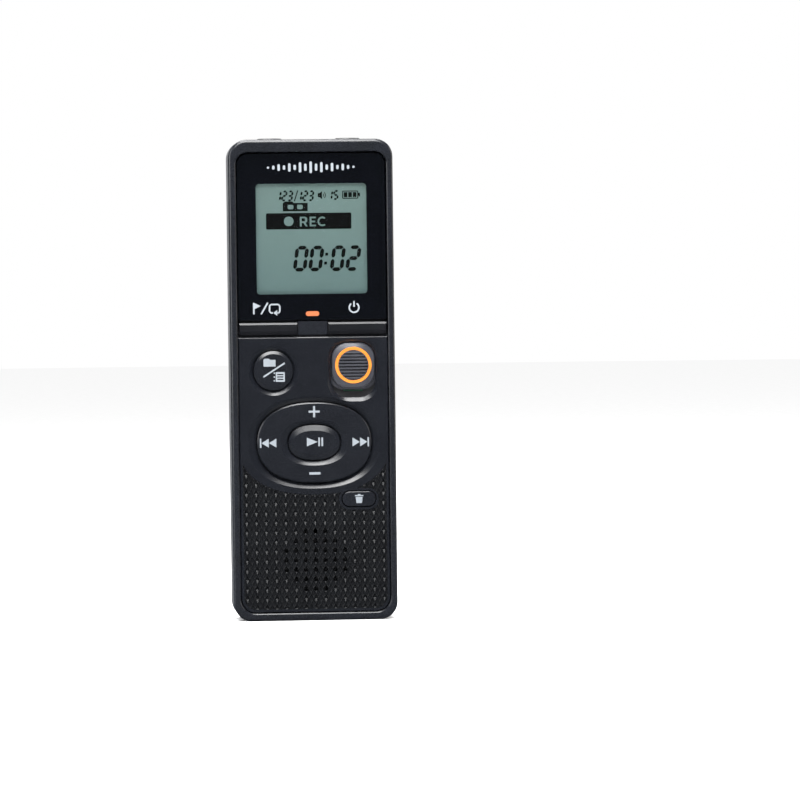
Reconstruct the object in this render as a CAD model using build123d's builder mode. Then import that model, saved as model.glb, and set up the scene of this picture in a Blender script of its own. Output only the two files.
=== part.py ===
from build123d import *
import os
from math import copysign, cos, pi, sin

os.makedirs("parts", exist_ok=True)

# A pocket voice recorder, standing on its bottom end. Sizes in mm.
# +Z runs up the long axis to the sockets, the display and keys face -Y, and the origin is the
# centre of the bottom end. "Height" below always means height above the back face, towards the front.

# ---------------------------------------------------------------- driving dimensions: the case
case_width = 36.8
case_height = 108.0
case_corner = 4.0            # corner radius seen from the front
back_round = 2.5             # rounding around the back face
front_round = 0.8            # rounding around the front rim
wall = 1.4                   # side walls
end_wall = 1.6               # top and bottom walls
wall_corner = 2.6            # inner corner radius of the walls
rim_width = 1.45             # front rim beside the display window and the key panel
top_band = 2.9               # front rim above the display window
bottom_band = 1.7            # front rim below the key panel
seam_drop = 4.9              # the rear shell ends this far behind the front rim
seam_gap = 0.12
lip_depth = 0.9              # tongue of the front frame inside the rear shell
lip_thickness = 0.7
fit_gap = 0.1                # clearance of pieces seated in the case

# ---------------------------------------------------------------- the stack from back to front
back_wall = 1.2
cell_diameter = 10.5
cell_back_gap = 0.35
cell_front_gap = 0.25
bay_roof = 0.6
key_board_thickness = 0.6
dome_thickness = 0.2
membrane_thickness = 0.3
key_drop = 0.35              # free height below the key flanges
key_flange = 0.5
key_lift = 0.35              # free height above the key flanges
panel_thickness = 1.2
panel_recess = 0.3           # key panel below the rim
crown_rise = 0.3             # the slider's crown above the rim

cell_back = back_wall + cell_back_gap
bay_inner = cell_back + cell_diameter + cell_front_gap
bay_front = bay_inner + bay_roof
board_front = bay_front + key_board_thickness
dome_front = board_front + dome_thickness
membrane_front = dome_front + membrane_thickness
flange_back = membrane_front + key_drop
flange_front = flange_back + key_flange
panel_back = flange_front + key_lift
panel_front = panel_back + panel_thickness
rim_front = panel_front + panel_recess
case_depth = rim_front + crown_rise
seam_height = rim_front - seam_drop

shelf_back = membrane_front + fit_gap  # back of the shelf that carries the lens and the key panel
rim_chamfer = 0.2            # inner edge of the rim
lens_recess = 0.8
lens_thickness = 1.0
lens_front = rim_front - lens_recess
lens_back = lens_front - lens_thickness

# ---------------------------------------------------------------- the front layout
lens_width = case_width - 2 * rim_width - 2 * fit_gap
lens_height = 37.8
lens_corner = 2.75           # upper corners; the lower ones are square
lens_edge = 0.35
lens_top = case_height - top_band
lens_bottom = lens_top - lens_height
lens_centre = (lens_top + lens_bottom) / 2
shelf_width = 1.5            # shelf under the edges of the lens and the key panel
rib_width = 1.45             # cross rib under the lens's lower edge
rib_overhang = 0.45          # the lens overhangs that rib
panel_rest = 0.65            # the crossbar under the key panel's upper edge

bar_lens_gap = 0.4
bar_height = 2.65
bar_inner = 3.5              # inner end of each bar key, from the centre line
bar_side_gap = 0.45
bar_gap = 0.2                # clearance of the bar keys in their channel
bar_rise = 0.1               # the bar keys' highest edge above the key panel
bar_facet = 0.7              # share of the bar's height that its main facet takes
bar_facet_fall = 0.1
bar_slope_fall = 0.6
bar_edge = 0.42
bar_edge_fall = 0.24
bridge_drop = 0.4            # bridge between the bar keys, below the key panel
bar_top = lens_bottom - bar_lens_gap
bar_bottom = bar_top - bar_height
bar_centre = (bar_top + bar_bottom) / 2
bar_outer = case_width / 2 - rim_width - bar_side_gap
bar_length = bar_outer - bar_inner
bar_middle = (bar_outer + bar_inner) / 2

panel_bar_gap = 0.6
panel_gap = 0.2              # groove between the key panel and the rim
panel_corner = 3.2
panel_edge = 0.2
panel_top = bar_bottom - panel_bar_gap
panel_bottom = bottom_band + panel_gap
panel_height = panel_top - panel_bottom
panel_centre = (panel_top + panel_bottom) / 2
panel_width = case_width - 2 * rim_width - 2 * panel_gap

key_gap = 0.2                # clearance around each key in the key panel
flange_width = 0.7           # how far each key's flange reaches past the key
key_edge = 0.25              # rounding or chamfer of a key's edge

key_column = 9.0             # round key and slider, left and right of the centre line
key_row = panel_top - 7.45
folder_radius = 4.4
folder_well = 5.6            # radius of the dished well around the round key
well_depth = 0.65
folder_front = panel_front + 0.25
folder_border = 0.64         # width of the sloping border around the round key's face
folder_fall = 0.3

slider_width = 9.6
slider_height = 10.1
slider_corner = 3.4
slider_travel = 2.1
slider_edge = 0.9            # depth of the pillow at its edge, below its crown
slider_clearance = 0.2       # between the slider's plate, when up, and the crossbar above it
slider_foot = 0.4            # how far the plate reaches below the cap, clear of the pad
slider_round = 0.5           # rounding around the pillow
slider_opening_gap = 0.15
slider_well = 0.85           # width of the dished well around the slider's opening
ring_outer = 4.1
ring_inner = 3.4
ring_depth = 0.5
grip_pitch = 0.72
grip_groove = 0.32
grip_depth = 0.3
grip_ribs = 5
slider_opening_height = slider_height + slider_travel + 2 * slider_opening_gap
slider_up = key_row + slider_travel / 2

oval_power = 2.3             # 2 would be a plain ellipse
oval_steps = 32
nav_width = 25.6
nav_height = 17.9
nav_centre = key_row - 16.2
nav_gap = 0.3
nav_well_width = 29.7
nav_well_height = 20.7
nav_front = panel_front + 0.5
nav_dish_width = 15.2
nav_dish_height = 10.3
nav_dish_depth = 0.8
pivot_width = 17.0           # outer size of the pivot ring under the pad
pivot_height = 12.8
pivot_band = 1.7
pivot_gap = 0.3

play_width = 11.5
play_height = 7.8
play_slope = 0.45            # depth of the sloping border around the play key's flat face
play_border_x = 1.05
play_border_z = 1.25
play_flange = 0.6

erase_column = 9.9
erase_row = nav_centre - 12.8
erase_length = 7.5
erase_height = 3.35
erase_front = panel_front + 0.3

skin_thickness = 0.4         # patterned skin let into the key panel below the pad
skin_side = 0.65
skin_bottom = panel_bottom + 0.75
skin_arc_width = 34.2        # the oval edge that the skin keeps clear of, around the pad
skin_arc_height = 23.4
skin_island = 0.75           # plain border around the erase key

speaker_row = 13.6
speaker_radius = 10.0
speaker_gasket_height = 0.3
basket_wall = 0.8
basket_floor = 0.3
magnet_radius = 5.0
magnet_height = 0.75
cone_height = 0.4
cone_skin = 0.15
cone_rim = 1.4
cone_cap = 3.0
gasket_band = 0.7
cloth_thickness = 0.15
hole_diameter = 1.05
hole_pitch_x = 2.2
hole_pitch_z = 2.15
hole_rows = (3, 5, 7, 7, 7, 5, 3)

# ---------------------------------------------------------------- the display
window_width = 24.9
window_height = 24.8
window_centre = lens_bottom + 18.4
display_margin = 1.35        # liquid-crystal cell beyond its window
holder_wall = 0.9
display_thickness = 1.1
backlight_thickness = 0.6
gasket_thickness = 0.3
gasket_rim = 1.0
holder_floor = 0.6
leg_radius = 1.0
led_row = lens_bottom + 1.6
led_length = 3.0
led_height = 1.04
led_fit = 0.05

# ---------------------------------------------------------------- the battery bay and its cover
cell_length = 44.5
cell_round = 0.4
nub_radius = 1.9
nub_length = 1.0
cell_spacing = 10.8          # between the two cells' axes
spring_length = 2.9
spring_radius = 2.8
spring_wire = 0.5
spring_turns = 3
contact_thickness = 0.3
contact_size = 8.0
bay_wall = 1.0
bay_side_gap = 0.55
bay_bottom = 5.0
bay_width = cell_spacing + cell_diameter + 2 * bay_side_gap
bay_top = bay_bottom + cell_length + spring_length + 2 * contact_thickness
cell_height = cell_back + cell_diameter / 2

cover_width = bay_width + 2.8
cover_gap = 0.15
cover_rail = 1.0             # how far each rail reaches under the rear shell's wall
rail_thickness = 0.75
rail_root = 1.2              # the part of each rail that joins the cover
rail_gap = 0.1
flap_depth = 3.2             # the cover's turned-up lower end
flap_thickness = 1.5
cover_top = bay_top + 1.4
bay_box_top = cover_top + cover_gap + 1.2
bay_rib = 1.0
bay_rib_height = 8.0
bay_rib_rows = (bay_bottom + 6.0, bay_top - 6.0)
rail_length = cover_top - 4.0
groove_row = cover_top - 11.0
groove_count = 6
cover_groove = 0.6
cover_groove_depth = 0.3
cover_groove_pitch = 1.4
cover_groove_length = 11.0

# ---------------------------------------------------------------- inside the upper case
main_board_back = 4.6
main_board_thickness = 1.0
main_board_front = main_board_back + main_board_thickness
main_board_gap = 0.8
main_board_bottom = bay_box_top + 0.8
boss_radius = 1.5
boss_end = 4.2
screw_radius = 0.8
screw_head_radius = 1.45
screw_head_height = 1.1
screw_length = 7.0
cross_length = 1.7
cross_width = 0.4
cross_depth = 0.6
screw_seat = 2.4
standoff_radius = 2.2
upper_screw = (case_width / 2 - 4.6, case_height - 4.6)
lower_screw = (case_width / 2 - 3.8, lens_bottom + 1.9)
board_posts = [(-6.0, main_board_bottom + 4), (6.0, main_board_bottom + 4), (0, case_height - 12)]
screw_places = [(side * x, z) for x, z in (upper_screw, lower_screw) for side in (-1, 1)]

jack_column = 8.8
jack_bore = 1.8              # a 3.5 mm plug's socket
jack_collar = 2.9
jack_collar_rise = 0.4
jack_edge = 0.25
jack_body_width = 5.6
jack_body_depth = 6.0
jack_body_length = 12.4
jack_bore_length = 14.0
jack_height = main_board_front + jack_body_depth / 2
jack_top = case_height + jack_collar_rise
jack_body_top = case_height - end_wall - 0.3

usb_row = case_height - 30.0
usb_width = 7.7
usb_thickness = 3.95
usb_length = 7.5
usb_wall = 0.35
usb_recess = 0.4
usb_corner = 0.5
usb_back = 1.0               # closed end of the socket, and the tongue's side gaps
usb_tongue = 0.9
usb_height = main_board_front + usb_thickness / 2

# Chips and parts on the two boards: (width, height, thickness), or as named.
processor_size = (9.0, 9.0, 1.1)
memory_size = (8.0, 12.0, 1.0)
chip_column = -3.0
crystal_size = (2.6, 6.0, 2.2)
crystal_column = 6.0
capacitor_radius = 1.6
capacitor_height = 4.5
capacitor_pitch = 7.0
capacitor_count = 4
link_size = (12.0, 3.0)
link_rise = 5.0              # above the main board's lower edge
led_size = (2.0, 1.0)
led_tab = 12.0               # width of the key board's tab under the LED
dome_radius = 1.6
switch_size = (3.6, 9.0)
switch_slot = 1.5
switch_floor = 0.2
post_radius = 0.55
post_reach = 0.35            # the slider's post ends this far above the key board

microphone_radius = 2.0
microphone_length = 2.4
boot_wall = 0.8
microphone_gap = 0.5
sound_hole_count = 5
sound_hole_radius = 0.35
sound_hole_pitch = 1.2


def level(height):
    """Plane parallel to the front face at a height above the back face; local y is +Z."""
    return Plane.XZ.offset(height - case_depth / 2)


def depth(height):
    """Y coordinate of a height above the back face."""
    return case_depth / 2 - height


def oval(width, height):
    """Sketch of a superellipse, an oval with slightly squared shoulders."""
    points = []
    for step in range(oval_steps):
        angle = 2 * pi * step / oval_steps
        across = copysign(abs(cos(angle)) ** (2 / oval_power), cos(angle))
        along = copysign(abs(sin(angle)) ** (2 / oval_power), sin(angle))
        points.append((across * width / 2, along * height / 2))
    with BuildSketch(Plane.XY) as outline:
        with BuildLine():
            Spline(*points, periodic=True)
        make_face()
    return outline.sketch


def envelope():
    """The whole case as one solid, with its back and front edges rounded."""
    with BuildPart() as block:
        with BuildSketch(level(0)):
            with Locations((0, case_height / 2)):
                RectangleRounded(case_width, case_height, case_corner)
        extrude(amount=rim_front)
        fillet(block.faces().sort_by(Axis.Y)[-1].edges(), back_round)
        fillet(block.faces().sort_by(Axis.Y)[0].edges(), front_round)
    return block.part


def save(part, name):
    """Label a finished piece and write it as its own file."""
    part.label = name
    export_step(part, f"parts/{name}.step")


inner_width = case_width - 2 * wall
inner_height = case_height - 2 * end_wall
opening_width = case_width - 2 * rim_width
case_block = envelope()

# ================================================================ rear shell
with BuildPart() as rear_shell:
    add(case_block)
    split(bisect_by=level(seam_height), keep=Keep.BOTTOM)
    with BuildSketch(level(back_wall)):
        with Locations((0, case_height / 2)):
            RectangleRounded(inner_width, inner_height, wall_corner)
    extrude(amount=seam_height, mode=Mode.SUBTRACT)
    # The battery bay's box reaches past the cover's slot and is tied to the side walls by ribs.
    with BuildSketch(level(back_wall)):
        with Locations((0, (bay_bottom - bay_wall + bay_box_top) / 2)):
            Rectangle(bay_width + 2 * bay_wall, bay_box_top - bay_bottom + bay_wall)
    extrude(amount=bay_front - back_wall)
    with BuildSketch(level(back_wall)):
        with Locations(*[(0, row) for row in bay_rib_rows]):
            Rectangle(inner_width, bay_rib)
    extrude(amount=bay_rib_height)
    with BuildSketch(level(back_wall)):
        with Locations(*screw_places):
            Circle(standoff_radius)
        with Locations(*board_posts):
            Circle(boss_radius)
    extrude(amount=main_board_back - back_wall)
    with BuildSketch(level(boss_end - fit_gap)):
        with Locations(*screw_places):
            Circle(standoff_radius + fit_gap)
    extrude(amount=main_board_back, mode=Mode.SUBTRACT)
    # The bay, open at the back.
    with BuildSketch(level(0)):
        with Locations((0, (bay_bottom + bay_top) / 2)):
            Rectangle(bay_width, bay_top - bay_bottom)
    extrude(amount=bay_inner, mode=Mode.SUBTRACT)
    # The cover's slot, its rail channels behind the back wall, and the notch for its lower end.
    with BuildSketch(level(0)):
        with Locations((0, cover_top / 2)):
            Rectangle(cover_width + 2 * cover_gap, cover_top + 2 * cover_gap)
    extrude(amount=back_wall, mode=Mode.SUBTRACT)
    with BuildSketch(level(back_wall)):
        with Locations((0, cover_top / 2)):
            Rectangle(cover_width + 2 * (cover_rail + cover_gap), cover_top + 2 * cover_gap)
    extrude(amount=rail_gap + rail_thickness + 2 * cover_gap, mode=Mode.SUBTRACT)
    with BuildSketch(level(back_wall)):
        with Locations((0, (flap_thickness + cover_gap) / 2)):
            Rectangle(cover_width + 2 * (cover_rail + cover_gap), flap_thickness + cover_gap)
    extrude(amount=flap_depth + cover_gap, mode=Mode.SUBTRACT)
    # Screw holes from the back.
    with BuildSketch(level(0)):
        with Locations(*screw_places):
            Circle(screw_head_radius + fit_gap)
    extrude(amount=screw_seat, mode=Mode.SUBTRACT)
    with BuildSketch(level(0)):
        with Locations(*screw_places):
            Circle(screw_radius + fit_gap)
    extrude(amount=main_board_back, mode=Mode.SUBTRACT)
    # Openings in the top end for the sockets and the microphone, and in the side for the USB socket.
    with BuildSketch(Plane.XY.offset(case_height - 2 * end_wall)):
        with Locations((-jack_column, depth(jack_height)), (jack_column, depth(jack_height))):
            Circle(jack_collar + fit_gap)
        with Locations((0, depth(jack_height))):
            with GridLocations(sound_hole_pitch, 1, sound_hole_count, 1):
                Circle(sound_hole_radius)
    extrude(amount=3 * end_wall, mode=Mode.SUBTRACT)
    with BuildSketch(Plane.YZ.offset(inner_width / 2 - wall)):
        with Locations((depth(usb_height), usb_row)):
            RectangleRounded(usb_thickness + 4 * fit_gap, usb_width + 4 * fit_gap, usb_corner + 2 * fit_gap)
    extrude(amount=3 * wall, mode=Mode.SUBTRACT)
save(rear_shell.part, "rear_shell")

# ================================================================ front frame
rib_bottom = lens_bottom + rib_overhang
crossbar_bottom = panel_top - panel_rest
crossbar_top = bar_bottom - bar_gap
channel_width = opening_width / 2 - bar_inner + bar_gap
channel_middle = opening_width / 2 - channel_width / 2

with BuildPart() as front_frame:
    add(case_block)
    split(bisect_by=level(seam_height + seam_gap), keep=Keep.TOP)
    with BuildSketch(level(seam_height)):
        with Locations((0, case_height / 2)):
            RectangleRounded(inner_width, inner_height, wall_corner)
    extrude(amount=shelf_back - seam_height, mode=Mode.SUBTRACT)
    # Pocket and window for the lens.
    with BuildSketch(level(lens_back)) as lens_pocket:
        with Locations((0, lens_centre)):
            Rectangle(opening_width, lens_height + 2 * fit_gap)
        fillet(lens_pocket.vertices().group_by(Axis.Y)[-1], lens_corner)
    extrude(amount=rim_front, mode=Mode.SUBTRACT)
    with BuildSketch(level(shelf_back)):
        with Locations((0, (rib_bottom + rib_width + lens_top - shelf_width) / 2)):
            Rectangle(opening_width - 2 * shelf_width, lens_top - shelf_width - rib_bottom - rib_width)
    extrude(amount=rim_front, mode=Mode.SUBTRACT)
    # Pocket and window for the key panel.
    with BuildSketch(level(panel_back)) as panel_pocket:
        with Locations((0, (bottom_band + bar_bottom) / 2)):
            Rectangle(opening_width, bar_bottom - bottom_band)
        fillet(panel_pocket.vertices().group_by(Axis.Y)[0], panel_corner + panel_gap)
    extrude(amount=rim_front, mode=Mode.SUBTRACT)
    with BuildSketch(level(shelf_back)):
        with Locations((0, (bottom_band + shelf_width + crossbar_bottom) / 2)):
            Rectangle(opening_width - 2 * shelf_width, crossbar_bottom - bottom_band - shelf_width)
    extrude(amount=rim_front, mode=Mode.SUBTRACT)
    # A channel for each bar key, with room for its flange below.
    for side in (-1, 1):
        with BuildSketch(level(shelf_back)):
            with Locations((side * channel_middle, (crossbar_top + rib_bottom) / 2)):
                Rectangle(channel_width, rib_bottom - crossbar_top)
        extrude(amount=rim_front, mode=Mode.SUBTRACT)
        with BuildSketch(level(shelf_back)):
            with Locations((side * channel_middle, (crossbar_top + rib_bottom) / 2 - bar_gap)):
                Rectangle(channel_width, rib_bottom - crossbar_top + 2 * bar_gap)
        extrude(amount=flange_front + fit_gap - shelf_back, mode=Mode.SUBTRACT)
    rim_face = front_frame.faces().group_by(Axis.Y)[0].sort_by(SortBy.AREA)[-1]
    chamfer(rim_face.inner_wires()[0].edges(), rim_chamfer)
    # The bridge between the bar keys is lower than the key panel.
    with BuildSketch(level(panel_front - bridge_drop)):
        with Locations((0, (bar_bottom + lens_bottom) / 2)):
            Rectangle(2 * bar_inner, lens_bottom - bar_bottom + fit_gap)
    extrude(amount=rim_front, mode=Mode.SUBTRACT)
    with BuildSketch(level(shelf_back)):
        with Locations((0, led_row)):
            SlotOverall(led_length + 2 * led_fit, led_height + 2 * led_fit)
    extrude(amount=rim_front, mode=Mode.SUBTRACT)
    # The tongue that locates the frame in the rear shell, left out above the sockets.
    with BuildSketch(level(seam_height - lip_depth)):
        with Locations((0, case_height / 2)):
            RectangleRounded(inner_width - 2 * fit_gap, inner_height - 2 * fit_gap, wall_corner)
            RectangleRounded(
                inner_width - 2 * (fit_gap + lip_thickness),
                inner_height - 2 * (fit_gap + lip_thickness),
                wall_corner - lip_thickness,
                mode=Mode.SUBTRACT,
            )
        with Locations((0, case_height)):
            Rectangle(2 * jack_column + jack_body_width + 1, 4 * end_wall, mode=Mode.SUBTRACT)
    extrude(amount=lip_depth + seam_gap)
    with BuildSketch(level(seam_height)):
        with Locations((0, case_height / 2)):
            RectangleRounded(inner_width, inner_height, wall_corner)
            RectangleRounded(
                inner_width - 2 * (fit_gap + lip_thickness),
                inner_height - 2 * (fit_gap + lip_thickness),
                wall_corner - lip_thickness,
                mode=Mode.SUBTRACT,
            )
    extrude(amount=2 * seam_gap)
    with BuildSketch(Plane.XY.offset(case_height - 2 * end_wall)):
        with Locations((-jack_column, depth(jack_height)), (jack_column, depth(jack_height))):
            Circle(jack_collar + 2 * fit_gap)
    extrude(amount=2 * end_wall, mode=Mode.SUBTRACT)
    # Screw bosses with pilot holes.
    with BuildSketch(level(boss_end)):
        with Locations(*screw_places):
            Circle(boss_radius)
    extrude(amount=shelf_back - boss_end)
    with BuildSketch(level(boss_end)):
        with Locations(*screw_places):
            Circle(screw_radius)
    extrude(amount=screw_seat + screw_length + 0.5 - boss_end, mode=Mode.SUBTRACT)
save(front_frame.part, "front_frame")

# ================================================================ case screws
with BuildPart() as case_screws:
    with BuildSketch(level(screw_seat - screw_head_height)):
        with Locations(*screw_places):
            Circle(screw_head_radius)
    extrude(amount=screw_head_height)
    with BuildSketch(level(screw_seat)):
        with Locations(*screw_places):
            Circle(screw_radius)
    extrude(amount=screw_length)
    with BuildSketch(level(screw_seat - screw_head_height)):
        with Locations(*screw_places):
            Rectangle(cross_length, cross_width)
            Rectangle(cross_width, cross_length)
    extrude(amount=cross_depth, mode=Mode.SUBTRACT)
save(case_screws.part, "case_screws")

# ================================================================ display lens, light pipe and LED
with BuildPart() as display_lens:
    with BuildSketch(level(lens_back)) as lens_outline:
        with Locations((0, lens_centre)):
            Rectangle(lens_width, lens_height)
        fillet(lens_outline.vertices().group_by(Axis.Y)[-1], lens_corner - fit_gap)
    extrude(amount=lens_thickness)
    fillet(display_lens.faces().sort_by(Axis.Y)[0].edges(), lens_edge)
    with BuildSketch(level(lens_back)):
        with Locations((0, led_row)):
            SlotOverall(led_length + 2 * led_fit, led_height + 2 * led_fit)
    extrude(amount=lens_thickness, mode=Mode.SUBTRACT)
save(display_lens.part, "display_lens")

with BuildPart() as light_pipe:
    with BuildSketch(level(shelf_back)):
        with Locations((0, led_row)):
            SlotOverall(led_length, led_height)
    extrude(amount=lens_front - shelf_back)
save(light_pipe.part, "light_pipe")

with BuildPart() as indicator_led:
    with BuildSketch(level(board_front)):
        with Locations((0, led_row)):
            Rectangle(*led_size)
    extrude(amount=shelf_back - board_front - fit_gap)
save(indicator_led.part, "indicator_led")

# ================================================================ key panel
with BuildPart() as key_panel:
    with BuildSketch(level(panel_back)) as panel_outline:
        with Locations((0, panel_centre)):
            Rectangle(panel_width, panel_height)
        fillet(panel_outline.vertices().group_by(Axis.Y)[0], panel_corner)
    extrude(amount=panel_thickness)
    chamfer(key_panel.faces().sort_by(Axis.Y)[0].edges(), panel_edge)
    # Dished wells around the round key, the slider, the pad and the erase key.
    with BuildSketch(level(panel_front - well_depth)):
        with Locations((-key_column, key_row)):
            Circle(folder_radius + key_gap)
    with BuildSketch(level(panel_front)):
        with Locations((-key_column, key_row)):
            Circle(folder_well)
    loft(mode=Mode.SUBTRACT)
    with BuildSketch(level(panel_front - well_depth)):
        with Locations((key_column, key_row)):
            RectangleRounded(
                slider_width + 2 * slider_opening_gap, slider_opening_height, slider_corner + key_gap
            )
    with BuildSketch(level(panel_front)):
        with Locations((key_column, key_row)):
            RectangleRounded(
                slider_width + 2 * (slider_opening_gap + slider_well),
                slider_opening_height + 2 * slider_well,
                slider_corner + key_gap + slider_well,
            )
    loft(mode=Mode.SUBTRACT)
    with BuildSketch(level(panel_front - well_depth)):
        with Locations((0, nav_centre)):
            add(oval(nav_width + 2 * nav_gap, nav_height + 2 * nav_gap))
    with BuildSketch(level(panel_front)):
        with Locations((0, nav_centre)):
            add(oval(nav_well_width, nav_well_height))
    loft(mode=Mode.SUBTRACT)
    # The key holes themselves.
    with BuildSketch(level(panel_back)):
        with Locations((-key_column, key_row)):
            Circle(folder_radius + key_gap)
        with Locations((key_column, key_row)):
            RectangleRounded(
                slider_width + 2 * slider_opening_gap, slider_opening_height, slider_corner + key_gap
            )
        with Locations((0, nav_centre)):
            add(oval(nav_width + 2 * nav_gap, nav_height + 2 * nav_gap))
        with Locations((erase_column, erase_row)):
            SlotOverall(erase_length + 2 * key_gap, erase_height + 2 * key_gap)
    extrude(amount=panel_thickness, mode=Mode.SUBTRACT)
    # The recess that holds the patterned skin, around the pad and the erase key.
    with BuildSketch(level(panel_front - skin_thickness)) as skin_recess:
        with Locations((0, (skin_bottom + nav_centre) / 2)):
            Rectangle(panel_width - 2 * skin_side, nav_centre - skin_bottom)
        fillet(skin_recess.vertices().group_by(Axis.Y)[0], panel_corner - skin_side)
        with Locations((0, nav_centre)):
            add(oval(skin_arc_width, skin_arc_height), mode=Mode.SUBTRACT)
        with Locations((erase_column, erase_row)):
            SlotOverall(erase_length + 2 * skin_island, erase_height + 2 * skin_island, mode=Mode.SUBTRACT)
    extrude(amount=panel_thickness, mode=Mode.SUBTRACT)
    # The loudspeaker's holes.
    with BuildSketch(level(panel_back)):
        for row, count in enumerate(hole_rows):
            row_height = speaker_row + (row - (len(hole_rows) - 1) / 2) * hole_pitch_z
            with Locations((0, row_height)):
                with GridLocations(hole_pitch_x, 1, count, 1):
                    Circle(hole_diameter / 2)
    extrude(amount=panel_thickness, mode=Mode.SUBTRACT)
save(key_panel.part, "key_panel")

# ================================================================ bar keys
for side, bar_name in ((-1, "index_key"), (1, "power_key")):
    with BuildPart() as bar_key:
        crown = panel_front + bar_rise
        fold = bar_bottom + (1 - bar_facet) * bar_height
        with BuildSketch(Plane.YZ.offset(side * bar_middle - bar_length / 2)):
            with BuildLine():
                Polyline(
                    (depth(flange_back), bar_bottom),
                    (depth(flange_back), bar_top),
                    (depth(crown - bar_edge_fall), bar_top),
                    (depth(crown), bar_top - bar_edge),
                    (depth(crown - bar_facet_fall), fold),
                    (depth(crown - bar_slope_fall), bar_bottom),
                    close=True,
                )
            make_face()
        extrude(amount=bar_length)
        ends = bar_key.faces().sort_by(Axis.X)
        chamfer([ends[0].edges().sort_by(Axis.Y)[0], ends[-1].edges().sort_by(Axis.Y)[0]], key_edge / 2)
        with BuildSketch(level(flange_back)):
            with Locations((side * bar_middle, bar_centre)):
                Rectangle(bar_length + 2 * bar_gap, bar_height + 4 * bar_gap)
        extrude(amount=key_flange - fit_gap)
    save(bar_key.part, bar_name)

# ================================================================ round key
with BuildPart() as folder_key:
    with BuildSketch(level(flange_back)):
        with Locations((-key_column, key_row)):
            Circle(folder_radius + flange_width)
    extrude(amount=key_flange)
    with BuildSketch(level(flange_back)):
        with Locations((-key_column, key_row)):
            Circle(folder_radius)
    extrude(amount=folder_front - flange_back)
    chamfer(folder_key.faces().sort_by(Axis.Y)[0].edges(), folder_fall, folder_border)
save(folder_key.part, "folder_key")

# ================================================================ record slider with its ring
pillow_radius = (slider_width**2 / 4 + slider_edge**2) / (2 * slider_edge)
slider_plate_top = crossbar_bottom - slider_clearance
slider_plate_bottom = slider_up - slider_height / 2 - slider_foot

with BuildPart() as record_slider:
    with BuildSketch(level(flange_front)):
        with Locations((key_column, slider_up)):
            RectangleRounded(slider_width, slider_height, slider_corner)
    extrude(amount=case_depth - flange_front)
    with Locations((key_column, depth(case_depth - pillow_radius), slider_up)):
        Sphere(pillow_radius, mode=Mode.INTERSECT)
    fillet(record_slider.faces().sort_by(Axis.Y)[0].outer_wire().edges(), slider_round)
    with BuildSketch(level(flange_back)):
        with Locations((key_column, (slider_plate_top + slider_plate_bottom) / 2)):
            RectangleRounded(
                slider_width + 2 * flange_width, slider_plate_top - slider_plate_bottom, slider_corner
            )
    extrude(amount=key_flange)
    # Groove for the ring, and the grip's ribs inside it.
    ring_front = case_depth - (ring_outer + ring_inner) ** 2 / (8 * pillow_radius)
    with BuildSketch(level(ring_front - ring_depth)):
        with Locations((key_column, slider_up)):
            Circle(ring_outer)
            Circle(ring_inner, mode=Mode.SUBTRACT)
    extrude(amount=case_depth, mode=Mode.SUBTRACT)
    grip_rows = [(step + 0.5) * grip_pitch for step in range(-grip_ribs, grip_ribs)]
    with BuildSketch(level(ring_front - grip_depth)):
        with Locations(*[(key_column, slider_up + row) for row in grip_rows]):
            Rectangle(2 * ring_inner, grip_groove)
        with Locations((key_column, slider_up)):
            Circle(ring_inner - fit_gap, mode=Mode.INTERSECT)
    extrude(amount=case_depth, mode=Mode.SUBTRACT)
    # The post that drives the slide switch.
    with BuildSketch(level(board_front + post_reach)):
        with Locations((key_column, slider_up)):
            Circle(post_radius)
    extrude(amount=flange_back - board_front - post_reach)
save(record_slider.part, "record_slider")

with BuildPart() as slider_ring:
    with BuildSketch(level(ring_front - ring_depth)):
        with Locations((key_column, slider_up)):
            Circle(ring_outer)
            Circle(ring_inner, mode=Mode.SUBTRACT)
    extrude(amount=ring_depth)
save(slider_ring.part, "slider_ring")

with BuildPart() as slide_switch:
    with BuildSketch(level(board_front)):
        with Locations((key_column, key_row)):
            Rectangle(*switch_size)
    extrude(amount=flange_back - board_front - fit_gap)
    with BuildSketch(level(board_front + switch_floor)):
        with Locations((key_column, key_row)):
            RectangleRounded(switch_slot, slider_travel + switch_slot, post_radius)
    extrude(amount=key_drop + membrane_thickness + dome_thickness, mode=Mode.SUBTRACT)
save(slide_switch.part, "slide_switch")

# ================================================================ four-way pad, pivot ring and play key
with BuildPart() as nav_pad:
    with BuildSketch(level(flange_back)):
        with Locations((0, nav_centre)):
            add(oval(nav_width + 2 * flange_width, nav_height + 2 * flange_width))
    extrude(amount=key_flange)
    with BuildSketch(level(flange_back)):
        with Locations((0, nav_centre)):
            add(oval(nav_width, nav_height))
    extrude(amount=nav_front - flange_back)
    chamfer(nav_pad.faces().sort_by(Axis.Y)[0].edges(), key_edge)
    with BuildSketch(level(nav_front - nav_dish_depth)):
        with Locations((0, nav_centre)):
            add(oval(play_width + 2 * nav_gap, play_height + 2 * nav_gap))
    with BuildSketch(level(nav_front)):
        with Locations((0, nav_centre)):
            add(oval(nav_dish_width, nav_dish_height))
    loft(mode=Mode.SUBTRACT)
    with BuildSketch(level(flange_back)):
        with Locations((0, nav_centre)):
            add(oval(play_width + 2 * nav_gap, play_height + 2 * nav_gap))
    extrude(amount=nav_front - flange_back, mode=Mode.SUBTRACT)
    with BuildSketch(level(flange_back)):
        with Locations((0, nav_centre)):
            Ellipse(pivot_width / 2 + pivot_gap, pivot_height / 2 + pivot_gap)
    extrude(amount=key_flange + key_lift, mode=Mode.SUBTRACT)
save(nav_pad.part, "nav_pad")

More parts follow.
